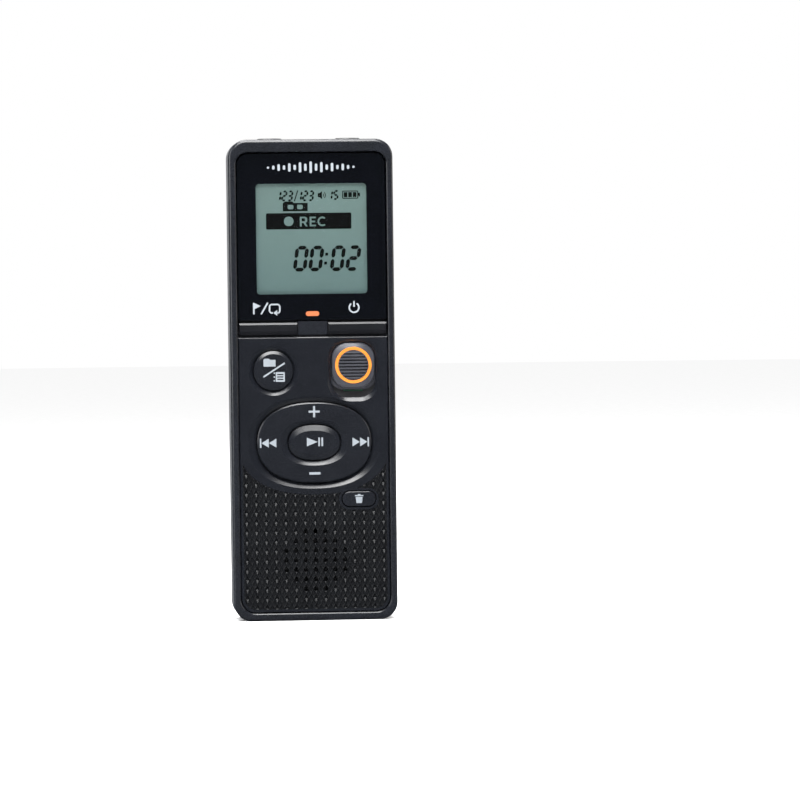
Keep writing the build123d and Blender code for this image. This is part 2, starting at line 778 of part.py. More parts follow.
with BuildPart() as nav_pivot:
    with BuildSketch(level(flange_back - key_drop / 2)):
        with Locations((0, nav_centre)):
            Ellipse(pivot_width / 2, pivot_height / 2)
            Ellipse(pivot_width / 2 - pivot_band, pivot_height / 2 - pivot_band, mode=Mode.SUBTRACT)
    extrude(amount=key_flange + key_drop / 2)
save(nav_pivot.part, "nav_pivot")

with BuildPart() as play_key:
    with BuildSketch(level(flange_back - fit_gap)):
        with Locations((0, nav_centre)):
            Ellipse(play_width / 2 + play_flange, play_height / 2 + play_flange)
    extrude(amount=key_flange)
    with BuildSketch(level(flange_back)):
        with Locations((0, nav_centre)):
            add(oval(play_width, play_height))
    extrude(amount=nav_front - play_slope - flange_back)
    with BuildSketch(level(nav_front - play_slope)):
        with Locations((0, nav_centre)):
            add(oval(play_width, play_height))
    with BuildSketch(level(nav_front)):
        with Locations((0, nav_centre)):
            add(oval(play_width - 2 * play_border_x, play_height - 2 * play_border_z))
    loft()
save(play_key.part, "play_key")

# ================================================================ erase key
with BuildPart() as erase_key:
    with BuildSketch(level(flange_back)):
        with Locations((erase_column, erase_row)):
            SlotOverall(erase_length + 2 * flange_width, erase_height + 2 * flange_width)
    extrude(amount=key_flange)
    with BuildSketch(level(flange_back)):
        with Locations((erase_column, erase_row)):
            SlotOverall(erase_length, erase_height)
    extrude(amount=erase_front - flange_back)
    fillet(erase_key.faces().sort_by(Axis.Y)[0].edges(), key_edge)
save(erase_key.part, "erase_key")

# ================================================================ membrane, domes and key board
key_board_bottom = erase_row - erase_height / 2 - flange_width
key_board_top = lower_screw[1] - boss_radius - fit_gap
key_board_width = inner_width - 8 * fit_gap
switch_places = [
    (-bar_middle, bar_centre),
    (bar_middle, bar_centre),
    (-key_column, key_row),
    (0, nav_centre),
    (-nav_width * 0.4, nav_centre),
    (nav_width * 0.4, nav_centre),
    (0, nav_centre + nav_height * 0.4),
    (0, nav_centre - nav_height * 0.4),
    (erase_column, erase_row),
]

with BuildPart() as key_membrane:
    with BuildSketch(level(dome_front)):
        with Locations((0, (key_board_bottom + key_board_top) / 2)):
            RectangleRounded(key_board_width - 1, key_board_top - key_board_bottom - 4 * fit_gap, 1.0)
        with Locations((key_column, key_row)):
            Rectangle(switch_size[0] + 8 * fit_gap, switch_size[1] + 8 * fit_gap, mode=Mode.SUBTRACT)
    extrude(amount=membrane_thickness)
save(key_membrane.part, "key_membrane")

with BuildPart() as key_domes:
    with BuildSketch(level(board_front)):
        with Locations(*switch_places):
            Circle(dome_radius)
    extrude(amount=dome_thickness)
save(key_domes.part, "key_domes")

with BuildPart() as key_board:
    with BuildSketch(level(bay_front)):
        with Locations((0, (key_board_bottom + key_board_top) / 2)):
            Rectangle(key_board_width, key_board_top - key_board_bottom)
        with Locations((0, (key_board_top + led_row) / 2)):
            Rectangle(led_tab, led_row - key_board_top + 2 * led_size[1])
    extrude(amount=key_board_thickness)
save(key_board.part, "key_board")

# ================================================================ display module
holder_width = window_width + 2 * (display_margin + holder_wall)
holder_height = window_height + 2 * (display_margin + holder_wall)
cell_width = window_width + 2 * display_margin - 2 * fit_gap
cell_view_height = window_height + 2 * display_margin - 2 * fit_gap
display_front = lens_back - gasket_thickness
display_back = display_front - display_thickness
backlight_back = display_back - backlight_thickness
holder_back = backlight_back - holder_floor

with BuildPart() as display_holder:
    with BuildSketch(level(holder_back)):
        with Locations((0, window_centre)):
            RectangleRounded(holder_width, holder_height, holder_wall)
    extrude(amount=lens_back - holder_back - fit_gap)
    with BuildSketch(level(backlight_back)):
        with Locations((0, window_centre)):
            Rectangle(holder_width - 2 * holder_wall, holder_height - 2 * holder_wall)
    extrude(amount=lens_back, mode=Mode.SUBTRACT)
    with BuildSketch(level(main_board_front)):
        with Locations((0, window_centre)):
            with GridLocations(holder_width - 3 * leg_radius, holder_height - 3 * leg_radius, 2, 2):
                Circle(leg_radius)
    extrude(amount=holder_back - main_board_front)
save(display_holder.part, "display_holder")

with BuildPart() as backlight:
    with BuildSketch(level(backlight_back)):
        with Locations((0, window_centre)):
            Rectangle(cell_width, cell_view_height)
    extrude(amount=backlight_thickness)
save(backlight.part, "backlight")

with BuildPart() as display_cell:
    with BuildSketch(level(display_back)):
        with Locations((0, window_centre)):
            Rectangle(cell_width, cell_view_height)
    extrude(amount=display_thickness)
save(display_cell.part, "display_cell")

with BuildPart() as display_gasket:
    with BuildSketch(level(display_front)):
        with Locations((0, window_centre)):
            Rectangle(cell_width, cell_view_height)
            Rectangle(cell_width - 2 * gasket_rim, cell_view_height - 2 * gasket_rim, mode=Mode.SUBTRACT)
    extrude(amount=gasket_thickness)
save(display_gasket.part, "display_gasket")

# ================================================================ main board and what it carries
main_board_top = case_height - end_wall - main_board_gap
with BuildPart() as main_board:
    with BuildSketch(level(main_board_back)):
        with Locations((0, (main_board_bottom + main_board_top) / 2)):
            RectangleRounded(
                inner_width - 2 * main_board_gap,
                main_board_top - main_board_bottom,
                wall_corner - main_board_gap,
            )
        with Locations(*screw_places):
            Circle(boss_radius + 3 * fit_gap, mode=Mode.SUBTRACT)
    extrude(amount=main_board_thickness)
save(main_board.part, "main_board")

with BuildPart() as board_link:
    with BuildSketch(level(main_board_front)):
        with Locations((0, main_board_bottom + link_rise)):
            Rectangle(*link_size)
    extrude(amount=bay_front - main_board_front)
save(board_link.part, "board_link")

with BuildPart() as processor:
    with BuildSketch(level(main_board_front)):
        with Locations((chip_column, usb_row + 10)):
            Rectangle(processor_size[0], processor_size[1])
    extrude(amount=processor_size[2])
save(processor.part, "processor")

with BuildPart() as memory_chip:
    with BuildSketch(level(main_board_front)):
        with Locations((chip_column, usb_row - 2)):
            Rectangle(memory_size[0], memory_size[1])
    extrude(amount=memory_size[2])
save(memory_chip.part, "memory_chip")

with BuildPart() as crystal:
    with BuildSketch(level(main_board_front)):
        with Locations((crystal_column, usb_row + 9)):
            SlotOverall(crystal_size[1], crystal_size[0], rotation=90)
    extrude(amount=crystal_size[2])
save(crystal.part, "crystal")

with BuildPart() as capacitors:
    with BuildSketch(level(main_board_front)):
        with Locations((0, usb_row - 11)):
            with GridLocations(capacitor_pitch, 1, capacitor_count, 1):
                Circle(capacitor_radius)
    extrude(amount=capacitor_height)
save(capacitors.part, "capacitors")

# ================================================================ sockets in the top end
for side, jack_name in ((-1, "earphone_socket"), (1, "microphone_socket")):
    with BuildPart() as jack:
        with BuildSketch(Plane.XY.offset(jack_body_top - jack_body_length)):
            with Locations((side * jack_column, depth(jack_height))):
                Rectangle(jack_body_width, jack_body_depth)
        extrude(amount=jack_body_length)
        with BuildSketch(Plane.XY.offset(jack_body_top)):
            with Locations((side * jack_column, depth(jack_height))):
                Circle(jack_collar)
        extrude(amount=jack_top - jack_body_top)
        chamfer(jack.faces().sort_by(Axis.Z)[-1].edges(), jack_edge)
        with BuildSketch(Plane.XY.offset(jack_top - jack_bore_length)):
            with Locations((side * jack_column, depth(jack_height))):
                Circle(jack_bore)
        extrude(amount=jack_bore_length, mode=Mode.SUBTRACT)
    save(jack.part, jack_name)

microphone_foot = case_height - end_wall - microphone_gap - microphone_length
with BuildPart() as microphone:
    with BuildSketch(Plane.XY.offset(microphone_foot)):
        with Locations((0, depth(jack_height))):
            Circle(microphone_radius)
    extrude(amount=microphone_length)
save(microphone.part, "microphone")

with BuildPart() as microphone_boot:
    with BuildSketch(Plane.XY.offset(microphone_foot)):
        with Locations((0, depth(jack_height))):
            Circle(microphone_radius + boot_wall)
            Circle(microphone_radius, mode=Mode.SUBTRACT)
    extrude(amount=microphone_length + microphone_gap)
save(microphone_boot.part, "microphone_boot")

# ================================================================ USB socket in the side
usb_mouth = case_width / 2 - usb_recess
with BuildPart() as usb_socket:
    with BuildSketch(Plane.YZ.offset(usb_mouth - usb_length)):
        with Locations((depth(usb_height), usb_row)):
            RectangleRounded(usb_thickness, usb_width, usb_corner)
    extrude(amount=usb_length)
    with BuildSketch(Plane.YZ.offset(usb_mouth - usb_length + usb_back)):
        with Locations((depth(usb_height), usb_row)):
            RectangleRounded(usb_thickness - 2 * usb_wall, usb_width - 2 * usb_wall, usb_corner / 2)
            Rectangle(usb_tongue, usb_width - 2 * usb_back, mode=Mode.SUBTRACT)
    extrude(amount=usb_length, mode=Mode.SUBTRACT)
    with BuildSketch(Plane.YZ.offset(usb_mouth - usb_tongue)):
        with Locations((depth(usb_height), usb_row)):
            Rectangle(usb_thickness - 2 * usb_wall, usb_width - 2 * usb_wall)
    extrude(amount=usb_length, mode=Mode.SUBTRACT)
save(usb_socket.part, "usb_socket")

# ================================================================ loudspeaker
speaker_back = bay_front + fit_gap / 2
speaker_front = panel_back - speaker_gasket_height
with BuildPart() as speaker_basket:
    with BuildSketch(level(speaker_back)):
        with Locations((0, speaker_row)):
            Circle(speaker_radius)
    extrude(amount=speaker_front - speaker_back)
    with BuildSketch(level(speaker_back + basket_floor)):
        with Locations((0, speaker_row)):
            Circle(speaker_radius - basket_wall)
    extrude(amount=speaker_front, mode=Mode.SUBTRACT)
save(speaker_basket.part, "speaker_basket")

with BuildPart() as speaker_magnet:
    with BuildSketch(level(speaker_back + basket_floor)):
        with Locations((0, speaker_row)):
            Circle(magnet_radius)
    extrude(amount=magnet_height)
save(speaker_magnet.part, "speaker_magnet")

with BuildPart() as speaker_cone:
    with BuildSketch(level(speaker_front - cone_height)):
        with Locations((0, speaker_row)):
            Circle(speaker_radius - basket_wall)
    extrude(amount=cone_height)
    with BuildSketch(level(speaker_front - cone_height + cone_skin)):
        with Locations((0, speaker_row)):
            Circle(speaker_radius - basket_wall - cone_rim)
            Circle(cone_cap, mode=Mode.SUBTRACT)
    extrude(amount=cone_height, mode=Mode.SUBTRACT)
save(speaker_cone.part, "speaker_cone")

with BuildPart() as speaker_gasket:
    with BuildSketch(level(speaker_front)):
        with Locations((0, speaker_row)):
            Circle(speaker_radius)
            Circle(speaker_radius - gasket_band, mode=Mode.SUBTRACT)
    extrude(amount=panel_back - speaker_front)
save(speaker_gasket.part, "speaker_gasket")

with BuildPart() as dust_cloth:
    with BuildSketch(level(panel_back - cloth_thickness)):
        with Locations((0, speaker_row)):
            Circle(speaker_radius - basket_wall)
    extrude(amount=cloth_thickness)
save(dust_cloth.part, "dust_cloth")

# ================================================================ cells and their contacts
for side, cell_name in ((-1, "left_cell"), (1, "right_cell")):
    foot = bay_bottom + contact_thickness + (spring_length if side < 0 else 0)
    button_end = foot + cell_length if side < 0 else foot
    can_foot = foot if side < 0 else foot + nub_length
    nub_foot = button_end - nub_length if side < 0 else foot
    with BuildPart() as cell:
        with BuildSketch(Plane.XY.offset(can_foot)):
            with Locations((side * cell_spacing / 2, depth(cell_height))):
                Circle(cell_diameter / 2)
        extrude(amount=cell_length - nub_length)
        fillet(cell.edges().filter_by(GeomType.CIRCLE), cell_round)
        with BuildSketch(Plane.XY.offset(nub_foot)):
            with Locations((side * cell_spacing / 2, depth(cell_height))):
                Circle(nub_radius)
        extrude(amount=nub_length)
    save(cell.part, cell_name)

with BuildPart() as contact_plates:
    for foot in (bay_bottom, bay_top - contact_thickness):
        with BuildSketch(Plane.XY.offset(foot)):
            with Locations((0, depth(cell_height))):
                with GridLocations(cell_spacing, 1, 2, 1):
                    Rectangle(contact_size, contact_size)
        extrude(amount=contact_thickness)
save(contact_plates.part, "contact_plates")

spring_feet = [
    (-cell_spacing / 2, bay_bottom + contact_thickness),
    (cell_spacing / 2, bay_top - contact_thickness - spring_length),
]
coil_height = spring_length - spring_wire
with BuildPart() as contact_springs:
    for column, foot in spring_feet:
        start = (column, depth(cell_height), foot + spring_wire / 2)
        with BuildLine() as coil:
            Helix(coil_height / spring_turns, coil_height, spring_radius, center=start)
        with BuildSketch(Plane(coil.line @ 0, z_dir=coil.line % 0)):
            Circle(spring_wire / 2)
        sweep(path=coil.line, is_frenet=True)
save(contact_springs.part, "contact_springs")

# ================================================================ battery cover
with BuildPart() as battery_cover:
    with BuildSketch(level(0)):
        with Locations((0, cover_top / 2)):
            Rectangle(cover_width, cover_top)
    extrude(amount=back_wall)
    add(case_block, mode=Mode.INTERSECT)
    with BuildSketch(level(back_wall)):
        with Locations((0, flap_thickness / 2)):
            Rectangle(cover_width, flap_thickness)
        for side in (-1, 1):
            with Locations((side * (cover_width - rail_root) / 2, rail_length / 2)):
                Rectangle(rail_root, rail_length)
    extrude(amount=rail_gap)
    with BuildSketch(level(back_wall + rail_gap)):
        for side in (-1, 1):
            with Locations((side * (cover_width + cover_rail - rail_root) / 2, rail_length / 2)):
                Rectangle(cover_rail + rail_root, rail_length)
    extrude(amount=rail_thickness)
    with BuildSketch(level(back_wall + rail_gap)):
        with Locations((0, flap_thickness / 2)):
            Rectangle(cover_width + 2 * cover_rail, flap_thickness)
    extrude(amount=flap_depth - rail_gap)
    with BuildSketch(level(0)):
        with Locations((0, groove_row)):
            with GridLocations(1, cover_groove_pitch, 1, groove_count):
                Rectangle(cover_groove_length, cover_groove)
    extrude(amount=cover_groove_depth, mode=Mode.SUBTRACT)
save(battery_cover.part, "battery_cover")
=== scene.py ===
"""A pocket voice recorder: finishes, display, printed marks and patterned skin around its fixed frame.

Sizes are in millimetres in the classes below and become metres where a mesh is made.
+Z runs up the case, the front faces -Y and +X is on the right seen from the front.
"""

import logging
import math
from dataclasses import dataclass, field
from enum import Enum

import bpy
from mathutils import Matrix, Vector

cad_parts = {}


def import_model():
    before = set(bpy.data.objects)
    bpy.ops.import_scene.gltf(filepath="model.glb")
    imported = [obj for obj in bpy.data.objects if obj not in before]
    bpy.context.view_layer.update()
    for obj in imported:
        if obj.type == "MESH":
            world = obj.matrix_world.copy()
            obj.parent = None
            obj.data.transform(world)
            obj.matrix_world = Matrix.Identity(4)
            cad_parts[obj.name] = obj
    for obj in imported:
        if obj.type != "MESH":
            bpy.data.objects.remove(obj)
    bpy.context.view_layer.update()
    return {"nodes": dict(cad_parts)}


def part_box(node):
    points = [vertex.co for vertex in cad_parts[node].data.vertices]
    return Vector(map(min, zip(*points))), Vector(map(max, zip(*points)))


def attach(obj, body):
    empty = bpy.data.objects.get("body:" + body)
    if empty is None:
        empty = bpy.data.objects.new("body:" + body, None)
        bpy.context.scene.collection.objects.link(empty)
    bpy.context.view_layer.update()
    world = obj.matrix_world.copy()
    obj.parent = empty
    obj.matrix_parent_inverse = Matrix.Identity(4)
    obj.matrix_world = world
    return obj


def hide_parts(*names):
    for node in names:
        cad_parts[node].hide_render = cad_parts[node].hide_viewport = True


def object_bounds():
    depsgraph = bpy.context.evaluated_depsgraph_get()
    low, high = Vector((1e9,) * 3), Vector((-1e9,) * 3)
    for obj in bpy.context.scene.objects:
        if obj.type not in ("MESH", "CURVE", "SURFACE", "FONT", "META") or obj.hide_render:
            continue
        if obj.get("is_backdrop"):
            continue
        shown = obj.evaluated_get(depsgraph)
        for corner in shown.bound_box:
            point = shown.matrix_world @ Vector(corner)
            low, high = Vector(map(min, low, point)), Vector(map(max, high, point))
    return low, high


LOG = logging.getLogger("recorder")
MM = 0.001
INK_RISE = 0.03  # how far printed ink stands off its surface
FACING = math.pi / 2  # the turn about X that makes a flat mesh face the front
MOTTLE_SCALE = 140.0  # soft patches of colour some seven millimetres across
MOTTLE_DETAIL = 5.0
MOTTLE_SPAN = (0.35, 0.7)  # share of the noise over which the second colour comes in
GRAIN_ROUGHNESS = 0.55  # how much of the finer octaves a grain has
WAVE_RATE = 20  # a wave texture's phase grows by this for each unit of its scale
THREAD_WOBBLE = 0.4
MORTAR = 0.03  # width of a board's copper lines as a share of their spacing
COAT_ROUGHNESS = 0.06
LEAST_ROUGHNESS = 0.02


# ---------------------------------------------------------------------------------------------
# Colours and nodes


def linear(code: str) -> tuple[float, float, float, float]:
    """Turn an sRGB hex colour into linear RGBA.

    Args:
        code: Six hex digits after a hash.

    Returns:
        Linear red, green, blue and an alpha of one.
    """
    parts = [int(code[i : i + 2], 16) / 255 for i in (1, 3, 5)]
    red, green, blue = (p / 12.92 if p <= 0.04045 else ((p + 0.055) / 1.055) ** 2.4 for p in parts)
    return red, green, blue, 1.0


def add_node(tree: bpy.types.NodeTree, kind: str, links: dict | None = None, **settings) -> bpy.types.Node:
    """Add a node with its settings and links.

    Args:
        tree: The node tree that gets the node.
        kind: The node's type name.
        links: Socket name or number of the new node, to the output socket that feeds it.
        settings: Node properties, or input values by socket name with underscores for spaces.

    Returns:
        The new node.
    """
    node = tree.nodes.new(kind)
    for name, value in settings.items():
        if hasattr(node, name):
            setattr(node, name, value)
        else:
            node.inputs[name.replace("_", " ")].default_value = value
    for name, source in (links or {}).items():
        tree.links.new(source, node.inputs[name])
    return node


def set_stops(ramp: bpy.types.Node, *stops: tuple[float, str]) -> None:
    """Give a colour ramp its stops.

    Args:
        ramp: The colour ramp node.
        stops: Pairs of a position from 0 to 1 and a hex colour.
    """
    elements = ramp.color_ramp.elements
    while len(elements) < len(stops):
        elements.new(0.5)
    for element, (place, code) in zip(elements, stops):
        element.position = place
        element.color = linear(code)


class Pattern(Enum):
    """The ways in which a finish's surface detail is laid out."""

    GRAIN = "even moulded or sprayed grain"
    BRUSHED = "fine lines drawn along one direction"
    WOVEN = "crossed threads"
    SOLDER = "board lacquer over copper lines"


@dataclass(frozen=True)
class Finish:
    """A surface finish made from its base colour and the detail of its making.

    Attributes:
        name: The material's common name and making.
        colour: Main colour.
        shade: The second colour, for the slight mottling of a real surface.
        roughness: Middle roughness.
        pattern: How the fine detail is laid out.
        size: Size of one grain, line or thread in millimetres.
        relief: Height of that detail in millimetres.
        metallic: 1 for bare metal.
        coat: Weight of a clear lacquer on top.
        swing: How far the roughness strays either way.
        along: Stretch of the pattern along X, Y and Z.
        glow: Strength of the light that the piece gives off.
        gloss: Specular level, 0.5 for an ordinary plastic.
        alpha: Below 1 for a clear window.
    """

    name: str
    colour: str
    shade: str
    roughness: float
    pattern: Pattern = Pattern.GRAIN
    size: float = 0.12
    relief: float = 0.004
    metallic: float = 0.0
    coat: float = 0.0
    swing: float = 0.06
    along: tuple[float, float, float] = (1.0, 1.0, 1.0)
    glow: float = 0.0
    gloss: float = 0.5
    alpha: float = 1.0

    def detail(self, tree: bpy.types.NodeTree) -> bpy.types.NodeSocket:
        """Lay out the fine detail on Object coordinates.

        Args:
            tree: The material's node tree.

        Returns:
            A socket with the detail's value from 0 to 1.
        """
        place = add_node(tree, "ShaderNodeTexCoord").outputs["Object"]
        mapped = add_node(tree, "ShaderNodeMapping", {"Vector": place}, Scale=self.along).outputs["Vector"]
        fine = 1 / (self.size * MM)
        if self.pattern is Pattern.WOVEN:
            waves = {"Scale": fine / WAVE_RATE, "Distortion": THREAD_WOBBLE}
            threads = {}
            for i, way in enumerate("XZ"):
                wave = add_node(tree, "ShaderNodeTexWave", {"Vector": mapped}, bands_direction=way, **waves)
                threads[i] = wave.outputs["Fac"]
            return add_node(tree, "ShaderNodeMath", threads, operation="MULTIPLY").outputs[0]
        if self.pattern is Pattern.SOLDER:
            cells = add_node(tree, "ShaderNodeTexBrick", {"Vector": mapped}, Scale=fine, Mortar_Size=MORTAR)
            return cells.outputs["Fac"]
        depth = 4.0 if self.pattern is Pattern.BRUSHED else 2.0
        settings = {"Scale": fine, "Detail": depth, "Roughness": GRAIN_ROUGHNESS}
        return add_node(tree, "ShaderNodeTexNoise", {"Vector": mapped}, **settings).outputs["Fac"]

    def tint(self, tree: bpy.types.NodeTree) -> bpy.types.NodeSocket:
        """Mottle the two colours in broad soft patches.

        Args:
            tree: The material's node tree.

        Returns:
            A colour socket.
        """
        place = add_node(tree, "ShaderNodeTexCoord").outputs["Object"]
        settings = {"Scale": MOTTLE_SCALE, "Detail": MOTTLE_DETAIL}
        noise = add_node(tree, "ShaderNodeTexNoise", {"Vector": place}, **settings)
        ramp = add_node(tree, "ShaderNodeValToRGB", {"Fac": noise.outputs["Fac"]})
        set_stops(ramp, *zip(MOTTLE_SPAN, (self.colour, self.shade)))
        return ramp.outputs["Color"]

    def make(self) -> bpy.types.Material:
        """Make the material once and return it each time it is asked for."""
        if self.name in bpy.data.materials:
            return bpy.data.materials[self.name]
        material = bpy.data.materials.new(self.name)
        material.use_nodes = True
        tree = material.node_tree
        tree.nodes.clear()
        detail = self.detail(tree)
        rough = add_node(
            tree,
            "ShaderNodeMapRange",
            {"Value": detail},
            To_Min=max(LEAST_ROUGHNESS, self.roughness - self.swing),
            To_Max=min(1.0, self.roughness + self.swing),
        )
        bump = add_node(tree, "ShaderNodeBump", {"Height": detail}, Strength=1.0, Distance=self.relief * MM)
        shader = add_node(
            tree,
            "ShaderNodeBsdfPrincipled",
            {"Base Color": self.tint(tree), "Roughness": rough.outputs[0], "Normal": bump.outputs[0]},
            Metallic=self.metallic,
            Coat_Weight=self.coat,
            Coat_Roughness=COAT_ROUGHNESS,
            Specular_IOR_Level=self.gloss,
            Alpha=self.alpha,
        )
        if self.glow:
            shader.inputs["Emission Color"].default_value = linear(self.colour)
            shader.inputs["Emission Strength"].default_value = self.glow
        add_node(tree, "ShaderNodeOutputMaterial", {"Surface": shader.outputs[0]})
        return material


@dataclass(frozen=True)
class CrystalPaintedLightFinish(Finish):
    """The grey-green reflector of a liquid-crystal display, with painted light: paler towards its top as if
    lit from above, with a fine even speckle.

    Attributes:
        bottom: Height in millimetres where the darker colour of the painted shading is reached.
        top: Height where the paler colour of the painted light is reached.
    """

    bottom: float = 73.0
    top: float = 97.0

    def tint(self, tree: bpy.types.NodeTree) -> bpy.types.NodeSocket:
        """Grade the two colours from bottom to top: painted light that makes the reflector paler higher up,
        as if lit from above.

        Args:
            tree: The material's node tree.

        Returns:
            A colour socket.
        """
        place = add_node(tree, "ShaderNodeTexCoord").outputs["Object"]
        height = add_node(tree, "ShaderNodeSeparateXYZ", {"Vector": place}).outputs["Z"]
        # painted light: the colour grows paler with height, as if lit from above
        share = add_node(
            tree, "ShaderNodeMapRange", {"Value": height}, From_Min=self.bottom * MM, From_Max=self.top * MM
        )
        ramp = add_node(tree, "ShaderNodeValToRGB", {"Fac": share.outputs[0]})
        set_stops(ramp, (0.0, self.colour), (1.0, self.shade))
        return ramp.outputs["Color"]


@dataclass(frozen=True)
class StageFinish(Finish):
    """Seamless studio paper that stays out of the object's reflections, as under a black flag.

    Attributes:
        flag: Colour that a glossy reflection meets in its place.
    """

    flag: str = "#3a3d42"

    def make(self) -> bpy.types.Material:
        """Make the paper's material once, dark where a glossy reflection meets it."""
        if self.name in bpy.data.materials:
            return bpy.data.materials[self.name]
        material = bpy.data.materials.new(self.name)
        material.use_nodes = True
        tree = material.node_tree
        tree.nodes.clear()
        paper = add_node(tree, "ShaderNodeBsdfDiffuse", {"Color": self.tint(tree)})
        flag = add_node(tree, "ShaderNodeBsdfDiffuse", Color=linear(self.flag))
        ray = add_node(tree, "ShaderNodeLightPath").outputs["Is Glossy Ray"]
        mix = add_node(tree, "ShaderNodeMixShader", {0: ray, 1: paper.outputs[0], 2: flag.outputs[0]})
        add_node(tree, "ShaderNodeOutputMaterial", {"Surface": mix.outputs[0]})
        return material


# ABS with a satin sprayed coat: a soft wide highlight over a very fine even grain.
FRAME_PAINT = Finish("ABS_satin_sprayed_black", "#131519", "#16181e", 0.27, size=0.16, relief=0.003)
# The same coat on the key panel, a little darker and flatter.
PANEL_PAINT = Finish("ABS_matt_sprayed_black", "#0e1015", "#121419", 0.25, size=0.14, relief=0.003)
# Moulded ABS straight from an eroded tool: coarser grain, dull highlight, mid grey.
SHELL_ABS = Finish("ABS_eroded_grey", "#58595b", "#5b5c5e", 0.55, size=0.22, relief=0.012)
# Deep relief moulded into the loudspeaker's skin, satin so that its ramps give soft spots.
SKIN_ABS = Finish("ABS_moulded_relief_black", "#08090c", "#0b0d10", 0.36, size=0.10, relief=0.002)
# Hard-coated acrylic printed black on its back: nearly mirror-smooth.
BORDER_ACRYLIC = Finish(
    "acrylic_back_printed_black", "#030406", "#040508", 0.07, size=2.5, relief=0.001, swing=0.03, coat=0.15
)
# Clear hard-coated acrylic over the display.
PANE_ACRYLIC = Finish(
    "acrylic_clear_hard_coated", "#0b0e10", "#101315", 0.06, size=2.5, relief=0.0005, swing=0.02, alpha=0.07
)
# Moulded key caps, satin with a finer grain than the case.
KEY_ABS = Finish("ABS_satin_key_black", "#0f1116", "#13151a", 0.26, size=0.12, relief=0.003)
# Key bars a little smoother than the caps, whose sloping facets catch a soft line of light.
BAR_ABS = Finish("ABS_gloss_key_black", "#0a0b10", "#0e0f14", 0.36, size=0.3, relief=0.001)
# The slider's cap, a slightly metallic sprayed grey.
SLIDER_PAINT = Finish(
    "ABS_pearl_sprayed_grey", "#36373d", "#404147", 0.3, size=0.12, relief=0.003, metallic=0.25
)
# A thin turned and anodised aluminium ring: warm orange with fine turning lines.
RING_METAL = Finish(
    "aluminium_anodised_orange", "#d9822f", "#e8923f", 0.3, Pattern.BRUSHED, 0.25, 0.002, metallic=0.4
)
# Diffusing polycarbonate lit by the diode behind it.
PIPE_GLOW = Finish(
    "polycarbonate_diffusing_orange", "#9a5230", "#a8623c", 0.3, size=0.5, relief=0.002, glow=0.14
)
# Liquid-crystal glass over its reflector, with painted light: paler towards its top and darker towards its
# bottom.
CRYSTAL = CrystalPaintedLightFinish(
    "liquid_crystal_reflector", "#445756", "#50625f", 0.5, size=0.15, relief=0.0008, swing=0.04, gloss=0.15
)
# The driven segments, nearly black with a green cast.
SEGMENT_INK = Finish(
    "liquid_crystal_dark_segment", "#020303", "#030404", 0.6, size=0.3, relief=0.0005, gloss=0.08
)
# Pad-printed silver-grey ink: slightly uneven and dull.
PRINT_INK = Finish("ink_pad_printed_silver", "#73797f", "#7c8288", 0.5, size=0.08, relief=0.004)
# Back-printed pale ink seen through acrylic.
WINDOW_INK = Finish("ink_screen_printed_pale", "#7e848a", "#888e93", 0.4, size=0.1, relief=0.001)
# Silicone rubber: dull, with a powdery mottling.
RUBBER = Finish("silicone_rubber_moulded", "#26272a", "#2e2f33", 0.75, size=0.3, relief=0.01)
# Fibreglass board under green lacquer with its copper lines just showing.
BOARD = Finish("fibreglass_green_lacquered", "#124d33", "#176141", 0.35, Pattern.SOLDER, 1.8, 0.02, coat=0.3)
# Epoxy chip packages, laser-marked matt black.
CHIP = Finish("epoxy_moulded_chip_black", "#1b1b1c", "#222224", 0.6, size=0.1, relief=0.006)
# Drawn and zinc-plated steel.
STEEL = Finish(
    "steel_zinc_plated", "#a7a9a8", "#8d9092", 0.32, Pattern.BRUSHED, 0.2, 0.004, 1.0, along=(1, 1, 8)
)
# Bright nickel plate on brass.
NICKEL = Finish(
    "brass_nickel_plated", "#c3bfb4", "#aaa79e", 0.22, Pattern.BRUSHED, 0.3, 0.002, 1.0, along=(8, 1, 1)
)
# Blackened pan-head screws with worn crests.
SCREW_STEEL = Finish("steel_black_oxide", "#2b2b2e", "#4b4c50", 0.38, size=0.25, relief=0.004, metallic=0.9)
# Snap domes, stamped stainless sheet.
DOME_METAL = Finish(
    "stainless_stamped", "#b4b5b6", "#9b9da0", 0.25, Pattern.BRUSHED, 0.2, 0.003, metallic=1.0
)
# Opal diffusing sheet behind the display.
WHITE_PLASTIC = Finish("polycarbonate_opal_white", "#d9dcdc", "#cfd3d3", 0.5, size=0.3, relief=0.004)
# Moulded nylon of sockets and switch bodies.
BLACK_NYLON = Finish("nylon_moulded_black", "#141416", "#1b1b1e", 0.5, size=0.2, relief=0.006)
# Heat-shrink jacket on the cells, smooth and glossy.
CELL_JACKET = Finish("PVC_shrink_jacket_blue", "#2a4a78", "#2d4f7e", 0.28, size=1.2, relief=0.001, coat=0.4)
# Acoustic cloth, finely woven polyester.
CLOTH = Finish("polyester_woven_black", "#101113", "#1d1e21", 0.85, Pattern.WOVEN, 0.25, 0.03)
# Vacuum-formed film of the loudspeaker's cone.
CONE_FILM = Finish("PET_formed_film_smoky", "#2c2d30", "#393a3e", 0.3, size=0.8, relief=0.006)
# Clear cast epoxy of the diode.
EPOXY = Finish("epoxy_cast_clear", "#d8d3c8", "#e4e0d6", 0.12, size=0.8, relief=0.002)
# Stage: a seamless painted sweep.
STAGE_PAINT = StageFinish("paper_seamless_white", "#f6f6f6", "#fafafa", 0.9, size=3.0, relief=0.02)

